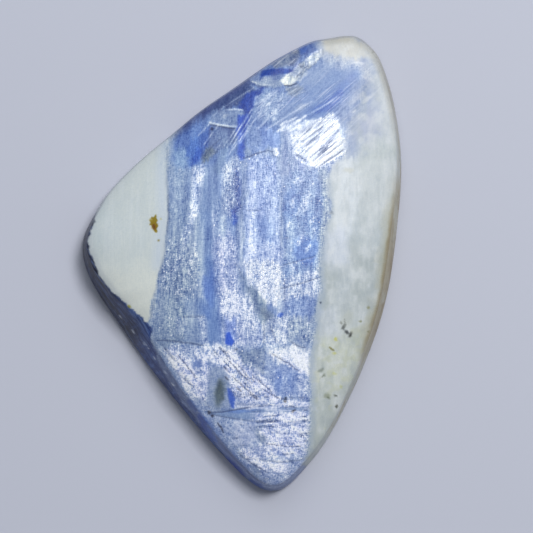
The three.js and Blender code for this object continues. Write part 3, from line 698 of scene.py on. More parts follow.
# long scratches over the upper left
for (a, b, w, o) in [((228, 150), (252, 112), 1.2, 0.85), ((232, 150), (256, 113), 1.0, 0.75), ((236, 148), (258, 118), 1.4, 0.8), ((225, 148), (240, 126), 1.0, 0.7), ((240, 146), (252, 128), 1.2, 0.8),
                     ((205, 147), (220, 126), 0.9, 0.6), ((199, 138), (212, 124), 1.0, 0.6), ((212, 158), (226, 140), 0.9, 0.5), ((229, 157), (236, 148), 1.2, 0.6), ((232, 104), (254, 90), 0.9, 0.5),
                     ((213, 118), (232, 104), 0.8, 0.45), ((258, 116), (276, 98), 1.2, 0.5), ((252, 122), (270, 100), 0.9, 0.4), ((263, 126), (283, 108), 1.0, 0.45), ((270, 130), (300, 110), 1.2, 0.5),
                     ((296, 113), (312, 104), 1.2, 0.55), ((306, 118), (333, 103), 1.0, 0.6), ((312, 116), (336, 100), 0.9, 0.5), ((296, 118), (322, 98), 0.9, 0.4), ((330, 120), (352, 100), 0.9, 0.35),
                     ((342, 118), (362, 98), 0.9, 0.3), ((345, 126), (368, 104), 0.9, 0.3), ((256, 133), (266, 124), 2.0, 0.6), ((264, 134), (272, 128), 1.6, 0.6)]:
    paint(stroke([a, b], w, 1.1, taper=0.6, rag=0.3), (214, 224, 242), o, relief=-0.008)
# rough cleavage chip near the top edge
paint(polygon([(280, 83), (285, 78), (292, 74), (298, 68), (306, 62), (315, 54), (322, 52), (322, 58), (314, 66), (304, 74), (297, 83), (291, 88), (283, 87)], 2, 1.4, period=3), (186, 196, 210), 0.97, fleck=0.25, net=0.3, gloss=0.3, relief=-0.08)
chip_rough = fbm(ACROSS / 2.2, ALONG / 3.0, 221, 3)
chip_zone = polygon([(280, 83), (285, 78), (292, 74), (298, 68), (306, 62), (315, 54), (323, 51), (323, 58), (314, 67), (304, 75), (297, 84), (291, 88), (283, 87)], 1.6, 1.0, period=3)
paint(chip_zone * smoothstep(0.02, 0.14, chip_rough), (222, 228, 234), 0.8, relief=0.03)
paint(chip_zone * smoothstep(0.06, 0.18, -chip_rough), (140, 152, 174), 0.75, relief=-0.02)
paint(polygon([(280, 82), (287, 78), (294, 80), (297, 83), (291, 88), (283, 87)], 1.6, 1.0, period=3), (222, 228, 228), 0.95, relief=0.06)
paint(polygon([(288, 77), (294, 73), (300, 68), (303, 73), (299, 78), (293, 80)], 1.6, 1.2, period=3), (200, 209, 222), 0.9, relief=0.03)
paint(polygon([(296, 84), (302, 77), (306, 72), (308, 75), (303, 80), (299, 85)], 1.6, 1.0, period=3), (186, 197, 214), 0.75, relief=0.02)
paint(polygon([(304, 63), (312, 57), (318, 55), (317, 62), (309, 67), (304, 68)], 1.8, 1.0, period=3), (206, 215, 226), 0.95, relief=0.05)
paint(polygon([(314, 56), (320, 53), (322, 57), (317, 62)], 1.4, 0.8, period=3), (218, 224, 230), 0.8, relief=0.03)
paint(stroke([(294, 81), (299, 77), (303, 71), (306, 69)], 1.2, 1.0, taper=0.4, rag=0.9, period=3), (84, 94, 118), 0.7, relief=-0.04)
paint(stroke([(299, 67), (301, 70), (303, 67)], 1.4, 1.2, taper=0.3, rag=0.8, period=3), (84, 94, 118), 0.6, relief=-0.03)
for a, b in [((286, 90), (292, 99)), ((290, 89), (298, 97)), ((284, 94), (299, 89)), ((288, 98), (302, 91))]:
    paint(stroke([a, b], 1.1, 1.0, taper=0.5, rag=0.6, period=3), (92, 106, 138), 0.6, relief=-0.02)
for a, b in [((285, 92), (296, 88)), ((287, 96), (300, 90)), ((290, 100), (304, 94))]:
    paint(stroke([a, b], 1.2, 1.0, taper=0.5, rag=0.6, period=3), (214, 222, 234), 0.6, relief=0.02)
paint(stroke([(284, 88), (290, 88.5), (296, 86)], 1.4, 1.0, taper=0.3), (60, 70, 94), 0.8, relief=-0.04)
paint(polygon([(286, 90), (296, 87), (304, 92), (296, 99), (288, 97)], 4, 2), (128, 142, 166), 0.6)
paint(stroke([(286, 98), (292, 94), (296, 91)], 1.2, 1.0, taper=0.4), (196, 206, 220), 0.6)
paint(stroke([(318, 50), (324, 52), (326, 56)], 1.6, 1.4, taper=0.4), (214, 220, 228), 0.6)

# ---- cracks across the band
for pts, w, o, d in [([(160, 339), (175, 340), (190, 341.5), (205, 344)], 1.4, 0.75, 0.03), ([(183, 316), (194, 315.5), (205, 316)], 1.2, 0.6, 0.02),
                     ([(281, 288), (294, 285), (306, 281), (320, 277)], 1.3, 0.7, 0.025), ([(283, 265), (298, 261), (315, 256)], 1.1, 0.55, 0.02),
                     ([(290, 340), (297, 344), (304, 346)], 1.3, 0.65, 0.02), ([(284, 280), (284, 300)], 1.1, 0.5, 0.015), ([(247, 212), (256, 212), (262, 211)], 0.9, 0.4, 0.01),
                     ([(264, 322), (264, 342)], 1.1, 0.6, 0.015), ([(270, 324), (276, 340)], 1.0, 0.5, 0.015), ([(282, 240), (286, 238), (290, 240)], 0.9, 0.4, 0.01),
                     ([(281, 190), (281, 230), (280, 262)], 0.9, 0.35, 0.01), ([(202, 162), (214, 148), (222, 140)], 1.1, 0.6, 0.02)]:
    paint(stroke(pts, w, 1.1, taper=0.4, rag=0.6), (70, 86, 128), o, relief=-d)

# ---- break up every drawn patch: blades, clouds and clusters, as a gain on the patch's own colour
blades = 0.55 * fbm(U / 3.4, V / 34.0, 101, 2) + 0.45 * fbm(U / 7.5, V / 70.0, 105, 2)
clouds = fbm(U / 13.0, V / 19.0, 111, 3)
cluster = fbm(U / 8.0, V / 13.0, 121, 3)
crumbs = fbm(U / 3.6, V / 5.0, 131, 3)
calm = smoothstep(0.0, 0.35, paint.fleck)               # smooth glassy patches stay calmer
upright = (1 - paint.scratch) * (1 - 0.85 * np.clip(wash, 0, 1)) * (1 - 0.65 * smoothstep(286, 366, V + 14 * fbm(U / 16.0, V / 16.0, 617, 2)))   # where the grain runs upright
slanting = fbm((0.80 * V - 0.60 * U) / 2.6, (0.60 * V + 0.80 * U) / 15.0, 611, 3)
level_grain = fbm(V / 2.2, U / 16.0, 613, 3)
low_half = smoothstep(292, 360, V + 24 * fbm(U / 14.0, V / 14.0, 615, 2)) * np.clip(paint.fleck * 1.6, 0, 1)
tone = 0.14 * np.clip(blades / 0.2, -1.3, 1.3) * upright + calm * (0.055 * np.clip(clouds / 0.2, -1.3, 1.3) + 0.06 * np.clip(crumbs / 0.2, -1.3, 1.3))
tone = tone + low_half * (0.10 * np.clip(slanting / 0.2, -1.4, 1.4) + 0.07 * np.clip(level_grain / 0.2, -1.4, 1.4))
paint.rgb *= np.exp(tone[:, None] * np.array([1.0, 0.82, 0.44])) * np.array([0.99, 1.0, 1.0])
paint.rgb *= 1.0 + smoothstep(338, 372, V)[:, None] * np.array([0.03, 0.015, 0.03])
paint.fleck = np.clip(paint.fleck * (1.0 + 0.6 * cluster), 0, 1)
paint.fibre = np.clip(0.6 + 0.4 * paint.fleck, 0, 1) * upright * (1 - 0.5 * smoothstep(0.7, 0.9, paint.gloss))

# ------------------------------------------------------------------ white matrix
LEFT_EDGE = [(178, 128), (171, 139), (168, 150), (168, 170), (170, 190), (170, 210), (169, 230), (167, 250), (165, 262), (160, 275), (157, 290), (153, 300), (151, 318), (148, 329)]
LEFT_ALL = [(178, 100)] + LEFT_EDGE + [(140, 345), (60, 330), (40, 230), (90, 150)]
left = polygon(LEFT_ALL, 3.0, 1.2, period=7)
left_soft = polygon(LEFT_ALL, 20.0, 1.6, period=7)
left = left + (left_soft - left) * smoothstep(190, 150, V)
depth = smoothstep(3.3, 2.6, Z)                         # the left matrix is a thin layer on blue stone
low_left = smoothstep(0.0, 1.2, ((U - 84) * 0.79 + (235 - V) * 0.61) * -0.1 + 0.0)
paint(left, MILK, 1.0, fibre=0.05, fleck=0.0, net=0.0, scratch=0.0, kyanite=0.0, gloss=0.55)
veil = fbm(U / 24, V / 38, 61, 3)
hair = fbm(U / 2.2, V / 60.0, 65, 2)
paint(left * smoothstep(-0.05, 0.3, veil), (204, 211, 208), 0.6)
paint(left * smoothstep(0.0, 0.3, -veil), (184, 196, 201), 0.55)
paint(left * smoothstep(0.02, 0.3, np.abs(hair)), (206, 214, 218), 0.35)
paint(left * smoothstep(192, 130, V + (U - 120) * 0.25), (184, 194, 198), 0.6)
paint(left * smoothstep(240, 285, V), (214, 219, 213), 0.75)
paint(left * stroke([(168, 130), (163, 170), (165, 220), (160, 265)], 10, 12), (190, 202, 216), 0.7)
paint(left * stroke([(92, 225), (92, 247), (103, 272), (124, 300), (146, 326)], 5, 6), (182, 190, 196), 0.5)
# thin grey seam between matrix and blades
paint(stroke([(169, 150), (169, 180), (171, 205), (170, 230), (167, 255), (161, 277), (157, 296), (153, 316)], 2.4, 3, rag=1.0), (122, 138, 166), 0.55)
paint(stroke([(170, 196), (170.5, 212), (169, 232)], 1.2, 1.2, taper=0.4, rag=0.8), (96, 108, 134), 0.5, relief=-0.01)

RIGHT_EDGE = [(322, 38), (318, 48), (322, 56), (340, 62), (361, 66), (366, 80), (361, 96), (352, 110), (346, 124), (347, 144), (344, 158), (332, 168), (326, 182), (327, 194), (331, 206), (330, 216), (325, 230), (322, 242), (320, 262),
              (320, 290), (317, 302), (315, 320), (314, 335), (311, 350), (309, 365), (310, 380), (311, 392), (311, 410), (310, 425), (309, 440), (308, 452), (303, 462)]
RIGHT_ALL = RIGHT_EDGE + [(340, 500), (450, 400), (460, 160), (420, 20), (360, -10), (318, 10)]
right_soft = smoothstep(0.16, 0.84, polygon(RIGHT_ALL, 32.0, 0.0, period=7) + 0.55 * comb + 0.25 * brush_wide * near_facet + 0.45 * puff)
right_soft = np.maximum(right_soft, polygon([(322, 38), (346, 30), (372, 46), (378, 62), (366, 64), (352, 60), (334, 59), (322, 52)], 9, 2, torn=0.0))
right = polygon(RIGHT_ALL, 5.0, 2.0, period=7)
lower_right = smoothstep(140, 172, V)
right = right * lower_right + right_soft * (1 - lower_right)
paint(right, MILK, 1.0, fibre=0.05, fleck=0.0, net=0.0, scratch=0.0, kyanite=0.0, gloss=0.55)
veil_r = fbm(U / 17, V / 26, 71, 4)
diagonal = (0.35 * brush + 0.3 * brush_wide) * near_facet + 0.7 * puff + 0.4 * fbm(U / 5.0, V / 5.0, 183, 3)
upper = right * smoothstep(186, 128, V + 0.75 * (U - 350) + 34 * fbm(U / 12.0, V / 12.0, 77, 3))
paint(upper, (190, 198, 213), 0.9, gloss=0.3)
near_blue = upper * smoothstep(30, -6, (U - 350) + 0.30 * (V - 120) + 22 * diagonal)
paint(near_blue, (138, 156, 194), 0.9, scratch=0.35, gloss=0.0)
paint(polygon([(335, 119), (343, 102), (354, 86), (362, 82), (364, 96), (357, 112), (349, 128), (341, 128)], 10, 3, torn=0.0), (104, 126, 172), 0.6, gloss=0.0, fleck=0.0)
paint(upper * stroke([(350, 112), (352, 130), (351, 156)], 11, 10, rag=2), (136, 154, 192), 0.7)
paint(upper * smoothstep(0.02, 0.2, -diagonal), (168, 179, 203), 0.7)
paint(upper * smoothstep(0.02, 0.2, diagonal), (208, 213, 222), 0.7)
paint(upper * stroke([(362, 66), (366, 82), (358, 100)], 8, 9, rag=2), (176, 182, 202), 0.6)
paint(right * stroke([(378, 84), (386, 112), (388, 140)], 14, 12, rag=2), (207, 213, 217), 0.75)
paint(upper * polygon([(352, 118), (372, 112), (378, 130), (366, 146), (350, 142)], 12, 3), (184, 190, 208), 0.6)
paint(right * polygon([(322, 40), (346, 38), (362, 46), (368, 60), (352, 62), (334, 60), (322, 54)], 6, 2), (198, 198, 192), 0.95)
paint(right * smoothstep(74, 60, V), None, 1.0, scratch=0.0, gloss=0.5)
paint(right * stroke([(366, 50), (378, 62), (388, 86), (396, 118)], 10, 8, rag=2), (196, 199, 200), 0.7)
paint(right * smoothstep(160, 185, V) * smoothstep(300, 240, V), (197, 205, 209), 0.8)
paint(right * polygon([(338, 162), (356, 158), (360, 190), (354, 232), (340, 240), (330, 224), (333, 200)], 10, 4), (219, 226, 232), 0.85)
paint(right * polygon([(356, 170), (392, 150), (396, 200), (388, 240), (364, 240)], 12, 4), (204, 211, 214), 0.6)
paint(right * smoothstep(236, 262, V) * smoothstep(335, 300, V), (169, 178, 180), 0.75)
paint(right * stroke([(340, 250), (345, 275), (340, 300)], 16, 12, rag=3), (188, 197, 204), 0.6)
paint(right * smoothstep(316, 338, V), (183, 191, 186), 0.9)
paint(right * smoothstep(-0.02, 0.22, veil_r), (208, 214, 216), 0.35)
paint(right * smoothstep(0.0, 0.22, -veil_r), (168, 179, 184), 0.35)
paint(right * stroke([(326, 340), (340, 352), (352, 352)], 14, 9, rag=3), (206, 212, 202), 0.6)
paint(right * stroke([(330, 375), (338, 384), (346, 380)], 12, 8, rag=3), (204, 211, 204), 0.5)
paint(right * stroke([(320, 398), (326, 420), (320, 440)], 14, 10, rag=3), (176, 186, 186), 0.5)
mott = fbm(U / 8.0, V / 11.0, 501, 4)
fine_m = fbm(U / 2.4, V / 13.0, 503, 3)
body = right * smoothstep(110, 170, V)
paint(body * polygon([(322, 232), (344, 228), (348, 262), (330, 270), (320, 262)], 12, 4, period=7, torn=0.0), (210, 218, 232), 0.6)
paint(body * polygon([(316, 308), (334, 306), (336, 332), (318, 338)], 9, 4, period=7, torn=0.0), (208, 215, 226), 0.65)
paint(body * polygon([(330, 340), (362, 336), (362, 372), (338, 384), (324, 366)], 14, 5, period=7, torn=0.0), (204, 210, 200), 0.55)
paint(right * smoothstep(0.0, 0.3, mott), (216, 221, 225), 0.5)
paint(right * smoothstep(0.0, 0.3, -mott) * (0.5 + 0.5 * smoothstep(225, 270, V)), (162, 172, 177), 0.36)
paint(body * smoothstep(0.06, 0.3, fine_m), (216, 221, 223), 0.22)
paint(body * smoothstep(0.06, 0.3, -fine_m), (160, 170, 174), 0.2)
paint(body * smoothstep(318, 345, V) * smoothstep(0.08, 0.25, fbm(U / 7.0, V / 7.0, 507, 3)), (190, 195, 168), 0.35)
# grey haze where the blades fade under the matrix
paint(stroke([(326, 182), (328, 210), (323, 235), (320, 262), (320, 292), (315, 320), (313, 345), (310, 370), (312, 400), (310, 430), (308, 452)], 7, 7, rag=1.5), (160, 175, 196), 0.6)
paint(right * stroke([(350, 66), (356, 65.5), (363, 66)], 1.6, 1.2, taper=0.5, rag=0.5), (236, 240, 244), 0.9, relief=0.01)
paint(right * stroke([(341, 65), (348, 65)], 1.2, 1.1, taper=0.5, rag=0.5), (226, 231, 240), 0.7)

# ---- inclusions and specks in the matrix
paint(polygon([(152, 221), (156, 217), (158, 215), (159, 222), (160.5, 226), (159, 232), (156, 233), (154, 229), (151.5, 226)], 1.2, 2.0, period=2.6, torn=0.0), (134, 114, 22), 1.0, relief=-0.02)
paint(spot(156.5, 227.5, 1.8, 2.8, -10, soft=0.5, rag=1.0, period=2.5), (104, 62, 20), 0.9)
paint(spot(153.0, 221.5, 1.6, 1.2, 30, soft=0.5, rag=0.8, period=2.5), (146, 128, 40), 0.85)
paint(stroke([(157.5, 221), (158, 216)], 1.4, 1.2), (140, 130, 50), 0.7)
paint(spot(161, 241, 1.2, soft=0.5), (140, 130, 80), 0.8)
paint(spot(163, 220, 1.0, soft=0.5), (176, 172, 120), 0.6)
paint(spot(131, 306, 2.0, 1.6, 0, soft=0.5, rag=0.6), (150, 146, 60), 0.85)
paint(spot(130, 308.5, 1.2, soft=0.4), (60, 62, 50), 0.8)
for (u_, v_, ru, rv, turn, c_, o_) in [(342.5, 326, 1.6, 3.2, 20, (88, 92, 92), 0.85), (345, 331, 2.4, 1.6, 30, (70, 74, 76), 0.85), (349, 333.5, 1.6, 3.0, 35, (64, 66, 64), 0.85), (340, 322, 1.2, 1.6, 0, (120, 124, 118), 0.7),
                                       (367, 331, 1.2, 1.2, 0, (96, 96, 60), 0.9), (367, 307, 1.2, 1.6, 0, (130, 130, 90), 0.7), (359, 320, 1.4, 1.2, 0, (120, 124, 84), 0.7), (335, 338, 1.6, 1.6, 0, (196, 196, 110), 0.85),
                                       (333, 352, 1.8, 1.4, 0, (196, 196, 120), 0.7), (320, 368, 2.6, 1.8, -20, (128, 136, 128), 0.7), (322, 374, 2.4, 1.2, -30, (116, 124, 110), 0.7), (333, 372, 2.4, 1.6, 0, (196, 198, 130), 0.5),
                                       (340, 385, 1.8, 1.4, 0, (178, 184, 120), 0.5), (335, 394, 1.5, 1.5, 0, (70, 74, 62), 0.9), (336, 405, 1.4, 1.4, 0, (74, 76, 62), 0.85), (326, 394, 3.2, 2.4, 30, (140, 148, 130), 0.7),
                                       (327.5, 396, 1.6, 1.2, 40, (96, 104, 84), 0.6), (373, 52, 1.6, 3.4, 25, (128, 134, 124), 0.6), (376, 58, 1.2, 2.2, 25, (120, 126, 116), 0.5), (346, 318, 5.0, 8.0, 20, (176, 182, 176), 0.5),
                                       (320, 302, 0.9, 0.9, 0, (70, 80, 100), 0.8), (347, 172, 5, 2.5, 0, (198, 200, 190), 0.5), (330, 214, 1.6, 2.0, 0, (110, 118, 130), 0.5), (354, 330, 5, 3, 0, (186, 190, 172), 0.5)]:
    paint(spot(u_, v_, ru, rv, turn, soft=0.45, rag=1.3, period=2.6), c_, o_)
paint(stroke([(328, 345.5), (331, 348), (333, 349)], 1.8, 1.2, taper=0.5), (120, 116, 62), 0.85)
paint(stroke([(383, 286), (381.5, 291), (379, 296)], 1.8, 1.4, taper=0.5), (84, 78, 62), 0.8, relief=-0.02)
paint(stroke([(343, 318), (344, 326)], 1.0, 1.0, taper=0.5), (110, 114, 108), 0.6)

# ---- warm colour along the right edge, darker at the very edge: partly a stain in the matrix, partly a painted warm reflection
edge_share = np.where(is_top > 0.5, np.r_[np.ones(n_wall), top_share, np.zeros(len(back_extra))], 1.0)
ang = np.degrees(np.mod(np.arctan2(Y, X), 2 * math.pi))
right_side = np.clip(smoothstep(314, 334, ang) + smoothstep(34, 12, ang) * (ang < 90), 0, 1)
stain_and_reflection_noise = fbm(ang / 6.0, Z / 0.8, 91, 3)
near_edge = smoothstep(0.90, 1.0, edge_share + 0.10 * stain_and_reflection_noise)
paint(near_edge * right_side * right, (176, 174, 152), 0.6)
paint(smoothstep(0.965, 1.0, edge_share + 0.03 * stain_and_reflection_noise) * right_side * right, (140, 127, 96), 0.8)
side_rim = is_wall
right_wide = np.clip(smoothstep(292, 330, ang + 60 * stain_and_reflection_noise) + smoothstep(52, 18, ang + 60 * stain_and_reflection_noise) * (ang < 120), 0, 1)
face_x = smoothstep(0.30, 0.70, np.interp(ang, rim_deg[np.argsort(rim_deg)], rim_in[np.argsort(rim_deg), 0] ** 2, period=360.0))


def side_noise(along, up, seed, octaves):
    """Noise over the walls, laid on from the side and from the end, with no seam."""
    def laid(a, sd, turn):
        a_, z_ = a + 2.4 * fbm(a / 1.7, Z / 1.1, sd + 50, 3), Z + 1.5 * fbm(a / 1.3 + 9.0, Z / 1.2 + 5.0, sd + 60, 3)
        return fbm((a_ * math.cos(turn) + z_ * math.sin(turn)) / along, (z_ * math.cos(turn) - a_ * math.sin(turn)) / up, sd, octaves)
    turn = 0.5 if up > 0.5 else 0.0
    return face_x * laid(Y, seed, turn) + (1 - face_x) * laid(X + 31.0, seed + 11, turn)


layers = side_noise(5.0, 0.34, 301, 3)                  # thin lines that run round the side
blots = side_noise(1.7, 1.1, 305, 4)
pores = side_noise(0.6, 0.55, 309, 2)
veins = np.abs(side_noise(4.0, 1.6, 313, 3))
paint(side_rim * right * smoothstep(0.0, 0.25, blots), (206, 206, 192), 0.6)
paint(side_rim * right * smoothstep(0.0, 0.25, -blots), (160, 170, 170), 0.6)
paint(side_rim * right * smoothstep(0.05, 0.2, layers), (212, 212, 204), 0.35)
paint(side_rim * left * smoothstep(0.0, 0.25, blots), (212, 214, 206), 0.5)
paint(side_rim * left * smoothstep(0.0, 0.25, -blots), (168, 178, 184), 0.6)
# tan on the right side wall: partly stain, partly the same painted warm reflection
tan = side_rim * right_wide * right
paint(tan * smoothstep(-0.35, 0.1, blots + 0.4 * layers), (172, 163, 136), 0.75, gloss=0.3)
paint(tan * smoothstep(-0.05, 0.25, blots + 0.5 * layers) * smoothstep(3.4, 1.0, Z), (124, 104, 74), 0.6)
paint(tan * smoothstep(0.0, 0.22, -blots), (186, 181, 160), 0.6)
paint(side_rim * right * smoothstep(0.03, 0.0, veins), (146, 142, 126), 0.3)
paint(side_rim * right * smoothstep(0.22, 0.36, pores), (122, 116, 98), 0.3, relief=-0.01)
paint(side_rim * left * smoothstep(0.03, 0.0, veins), (146, 156, 164), 0.25)
paint(side_rim * left * smoothstep(0.02, 0.22, layers), (214, 217, 210), 0.4)
paint(side_rim * left * smoothstep(0.02, 0.22, -layers), (164, 174, 178), 0.35)
paint(side_rim * left * smoothstep(0.24, 0.36, pores), (140, 144, 134), 0.3, relief=-0.01)
paint(side_rim * (1 - right) * (1 - left), (92, 114, 168), 0.5)
paint(side_rim * (1 - right) * (1 - left) * smoothstep(0.0, 0.22, blots), (132, 153, 200), 0.5)
paint(side_rim * (1 - right) * (1 - left) * smoothstep(0.0, 0.22, -blots), (66, 84, 140), 0.4)
paint(side_rim * (1 - right) * (1 - left) * smoothstep(0.12, 0.3, pores), (176, 190, 220), 0.4)
paint(side_rim * (1 - right) * (1 - left) * smoothstep(0.02, 0.2, layers), (160, 178, 212), 0.4)
paint(side_rim * (1 - right) * (1 - left) * smoothstep(0.02, 0.2, -layers), (74, 94, 146), 0.4)
top_side = smoothstep(30, 50, ang) * smoothstep(92, 74, ang)
paint(smoothstep(0.96, 1.0, edge_share) * top_side * right, (160, 158, 146), 0.5)

# ---- dark steep side, lower left: the blue stone under the white layer, wider below; its darkness is partly the stone's own dark blue and partly painted shade, as this side faces away from the light
inset = np.full(N, 99.0)
close = np.where((edge_share > 0.72) & (ang > 150) & (ang < 282))[0]
for k in range(0, RIM, 40):
    block = rim[k:k + 40]
    if np.hypot(*(block - verts[close, :2].mean(0)).T).min() > 40:
        continue
    inset[close] = np.minimum(inset[close], np.hypot(X[close, None] - block[None, :, 0], Y[close, None] - block[None, :, 1]).min(1))
DARK_WIDTH = [(0, 0.0), (158, 0.0), (164, 0.45), (172, 0.75), (180, 1.05), (192, 1.5), (202, 2.0), (209, 2.5), (215, 2.6), (222, 1.7), (232, 1.0),
              (240, 0.7), (250, 0.5), (260, 0.35), (272, 0.0), (360, 0.0)]
lip_noise = 0.9 * fbm(ang / 3.2, inset / 1.6, 83, 3) + 0.22 * fbm(ang / 0.8, inset / 0.7, 84, 2)
reach = around(DARK_WIDTH, ang)
dark = smoothstep(0.10, -0.10, inset - reach - 0.65 * lip_noise) * smoothstep(160, 165, ang) * smoothstep(272, 262, ang) * (1 - is_back)
runs = fbm(ang / 7.0, (inset + 0.35 * Z) / 0.34, 85, 3)  # streaks that follow the edge
chips = fbm(ang / 1.1, (inset + 0.35 * Z) / 0.5, 87, 3)
inner = smoothstep(0.25, 0.7, inset / np.maximum(reach, 0.1)) * smoothstep(184, 200, ang)
paint(dark, (26, 34, 66), 0.98, fibre=0.1, fleck=0.0, net=0.0, kyanite=1.0, gloss=0.2)
paint(dark * smoothstep(0.0, 0.2, runs), (54, 66, 104), 0.7)
paint(dark * smoothstep(0.0, 0.2, -runs), (14, 16, 32), 0.6)
paint(dark * inner, (50, 72, 126), 0.8)
paint(dark * inner * smoothstep(0.0, 0.2, runs), (84, 112, 172), 0.7)
paint(dark * smoothstep(0.1, 0.3, chips) * smoothstep(196, 206, ang), (78, 102, 156), 0.45)
paint(dark * smoothstep(210, 226, ang), (50, 76, 146), 0.8)
paint(dark * smoothstep(212, 230, ang) * smoothstep(0.0, 0.2, chips + 0.5 * runs), (96, 126, 190), 0.7)
# painted glints: small white dashes along the dark side
for (u_, v_, long_, thick) in [(121, 316, 2.2, 0.7), (124, 319, 1.2, 0.5), (134, 331, 2.6, 0.7), (138, 336, 1.6, 0.5), (146, 343, 3.0, 1.0), (149, 347, 1.8, 0.6), (142, 339, 1.2, 0.4),
                               (156, 357, 2.2, 0.7), (166, 371, 2.0, 0.6), (174, 383, 2.4, 0.8)]:
    paint(spot(u_, v_, long_, thick, 52, soft=0.6, rag=0.7, period=3), (232, 238, 248), 0.85, relief=0.015)
for pts, w, col in (([(200, 414), (206, 426), (213, 438)], 6, (40, 78, 176)), ([(209, 428), (216, 440)], 4, (72, 112, 200)), ([(228, 458), (236, 468), (243, 475)], 6, (34, 66, 166)),
                    ([(190, 398), (196, 408)], 5, (60, 92, 172)), ([(250, 479), (262, 486)], 4, (46, 78, 160))):
    paint(stroke(pts, w, 4, taper=0.5, rag=2, period=4) * (1 - is_back), col, 0.85, fleck=0.0, gloss=0.4)
# ragged dark nick where the side starts
paint(polygon([(91, 221), (96, 219), (98, 222), (94, 227), (91, 233), (88, 236), (87, 230)], 1.4, 1.0, period=3), (78, 84, 96), 0.8)


paint(spot(236, 462, 9, 5, 45, soft=0.7, rag=1.0) * is_top, (84, 112, 178), 0.75)

# ---- flat back: the same layers cut through lower down, ground and not polished
BAND_BACK = [(150, 128), (160, 160), (158, 200), (162, 236), (152, 280), (146, 316), (138, 352), (176, 420), (240, 500), (296, 496), (305, 450), (318, 410), (316, 360),
             (326, 316), (322, 270), (334, 226), (330, 190), (344, 150), (352, 110), (340, 74), (312, 44), (250, 70), (190, 104)]
band_b = polygon(BAND_BACK, 3.0, 2.6, period=8)
grain_b = fbm(U / 5.5, V / 64.0, 401, 3)
thin_b = fbm(U / 3.0, V / 40.0, 405, 2)
cloud_b = fbm(U / 26.0, V / 30.0, 409, 4)
mott_b = fbm(U / 9.0, V / 11.0, 411, 4)
B = is_back
paint(B, (196, 200, 194), 1.0, fibre=0.08, fleck=0.0, net=0.0, scratch=0.0, kyanite=0.0, gloss=0.15)
paint(B * smoothstep(0.0, 0.25, mott_b), (212, 214, 206), 0.6)
paint(B * smoothstep(0.0, 0.25, -mott_b), (170, 178, 176), 0.6)
paint(B * smoothstep(0.02, 0.2, cloud_b) * smoothstep(300, 420, U), (188, 176, 146), 0.55)
blue_b = B * band_b
paint(blue_b, (150, 166, 195), 1.0, fibre=0.75, fleck=0.28, net=0.15, kyanite=1.0, gloss=0.2)
paint(blue_b * smoothstep(0.0, 0.18, grain_b), (188, 199, 220), 0.7, fleck=0.5)
paint(blue_b * smoothstep(0.0, 0.2, -grain_b), (104, 128, 176), 0.75, fleck=0.1)
paint(blue_b * smoothstep(0.04, 0.2, thin_b), (202, 210, 226), 0.45)
paint(blue_b * smoothstep(0.04, 0.2, -thin_b), (120, 140, 180), 0.45)
slate_b = fbm(U / 14.0, V / 34.0, 415, 3)
paint(blue_b * smoothstep(0.06, 0.2, slate_b), (134, 146, 162), 0.6, fleck=0.05)
paint(blue_b * smoothstep(0.1, 0.24, -slate_b), (74, 102, 172), 0.55, fleck=0.05)
for pts, w, col, o in [([(176, 140), (180, 230), (172, 330), (178, 400)], 9, (88, 114, 170), 0.75), ([(206, 108), (212, 200), (208, 300), (216, 440)], 13, (112, 136, 184), 0.7),
                       ([(226, 110), (230, 240), (228, 360)], 6, (76, 102, 164), 0.75), ([(246, 90), (252, 220), (250, 330), (258, 470)], 15, (190, 200, 220), 0.7),
                       ([(274, 80), (276, 190), (282, 300)], 8, (98, 122, 178), 0.7), ([(290, 250), (294, 350), (290, 450)], 12, (176, 188, 212), 0.6),
                       ([(306, 70), (310, 180), (306, 260)], 10, (120, 142, 188), 0.6), ([(160, 180), (164, 260)], 6, (176, 186, 204), 0.6), ([(262, 340), (266, 460)], 6, (84, 108, 166), 0.6)]:
    paint(B * stroke(pts, w, 5, taper=0.4, rag=2.5), col, o)
for pts, w in [([(152, 300), (190, 306), (232, 300), (262, 309)], 1.8), ([(214, 196), (250, 190), (300, 198)], 1.6), ([(196, 384), (246, 392), (300, 386)], 1.8), ([(236, 128), (276, 134)], 1.5),
               ([(322, 300), (352, 306), (380, 296)], 1.5), ([(100, 210), (128, 222), (150, 214)], 1.5)]:
    paint(B * stroke(pts, w + 0.6, 2.2, taper=0.7, rag=3.0, period=7), (104, 106, 112), 0.5)
paint(B * stroke([(150, 140), (159, 200), (154, 270), (142, 330)], 5, 5, rag=2, period=6), (172, 164, 140), 0.6)
paint(B * stroke([(346, 150), (333, 220), (324, 270), (318, 360), (312, 420)], 5, 5, rag=2, period=6), (168, 158, 132), 0.6)
for u_, v_, r_ in [(118, 262, 3.4), (134, 196, 2.2), (362, 210, 3.0), (344, 262, 2.2), (372, 150, 2.4), (338, 380, 3.6), (352, 336, 2.4), (128, 300, 2.2), (366, 96, 2.6)]:
    paint(B * spot(u_, v_, r_, r_ * 1.3, 20, soft=0.5, rag=1.5, period=4), (124, 112, 74), 0.75)

# ------------------------------------------------------------------ to linear colour, mesh and attributes
rgb = np.clip(paint.rgb, 0, 1)
linear = np.where(rgb <= 0.04045, rgb / 12.92, ((rgb + 0.055) / 1.055) ** 2.4)
EXPOSE = 0.92
linear = linear * EXPOSE

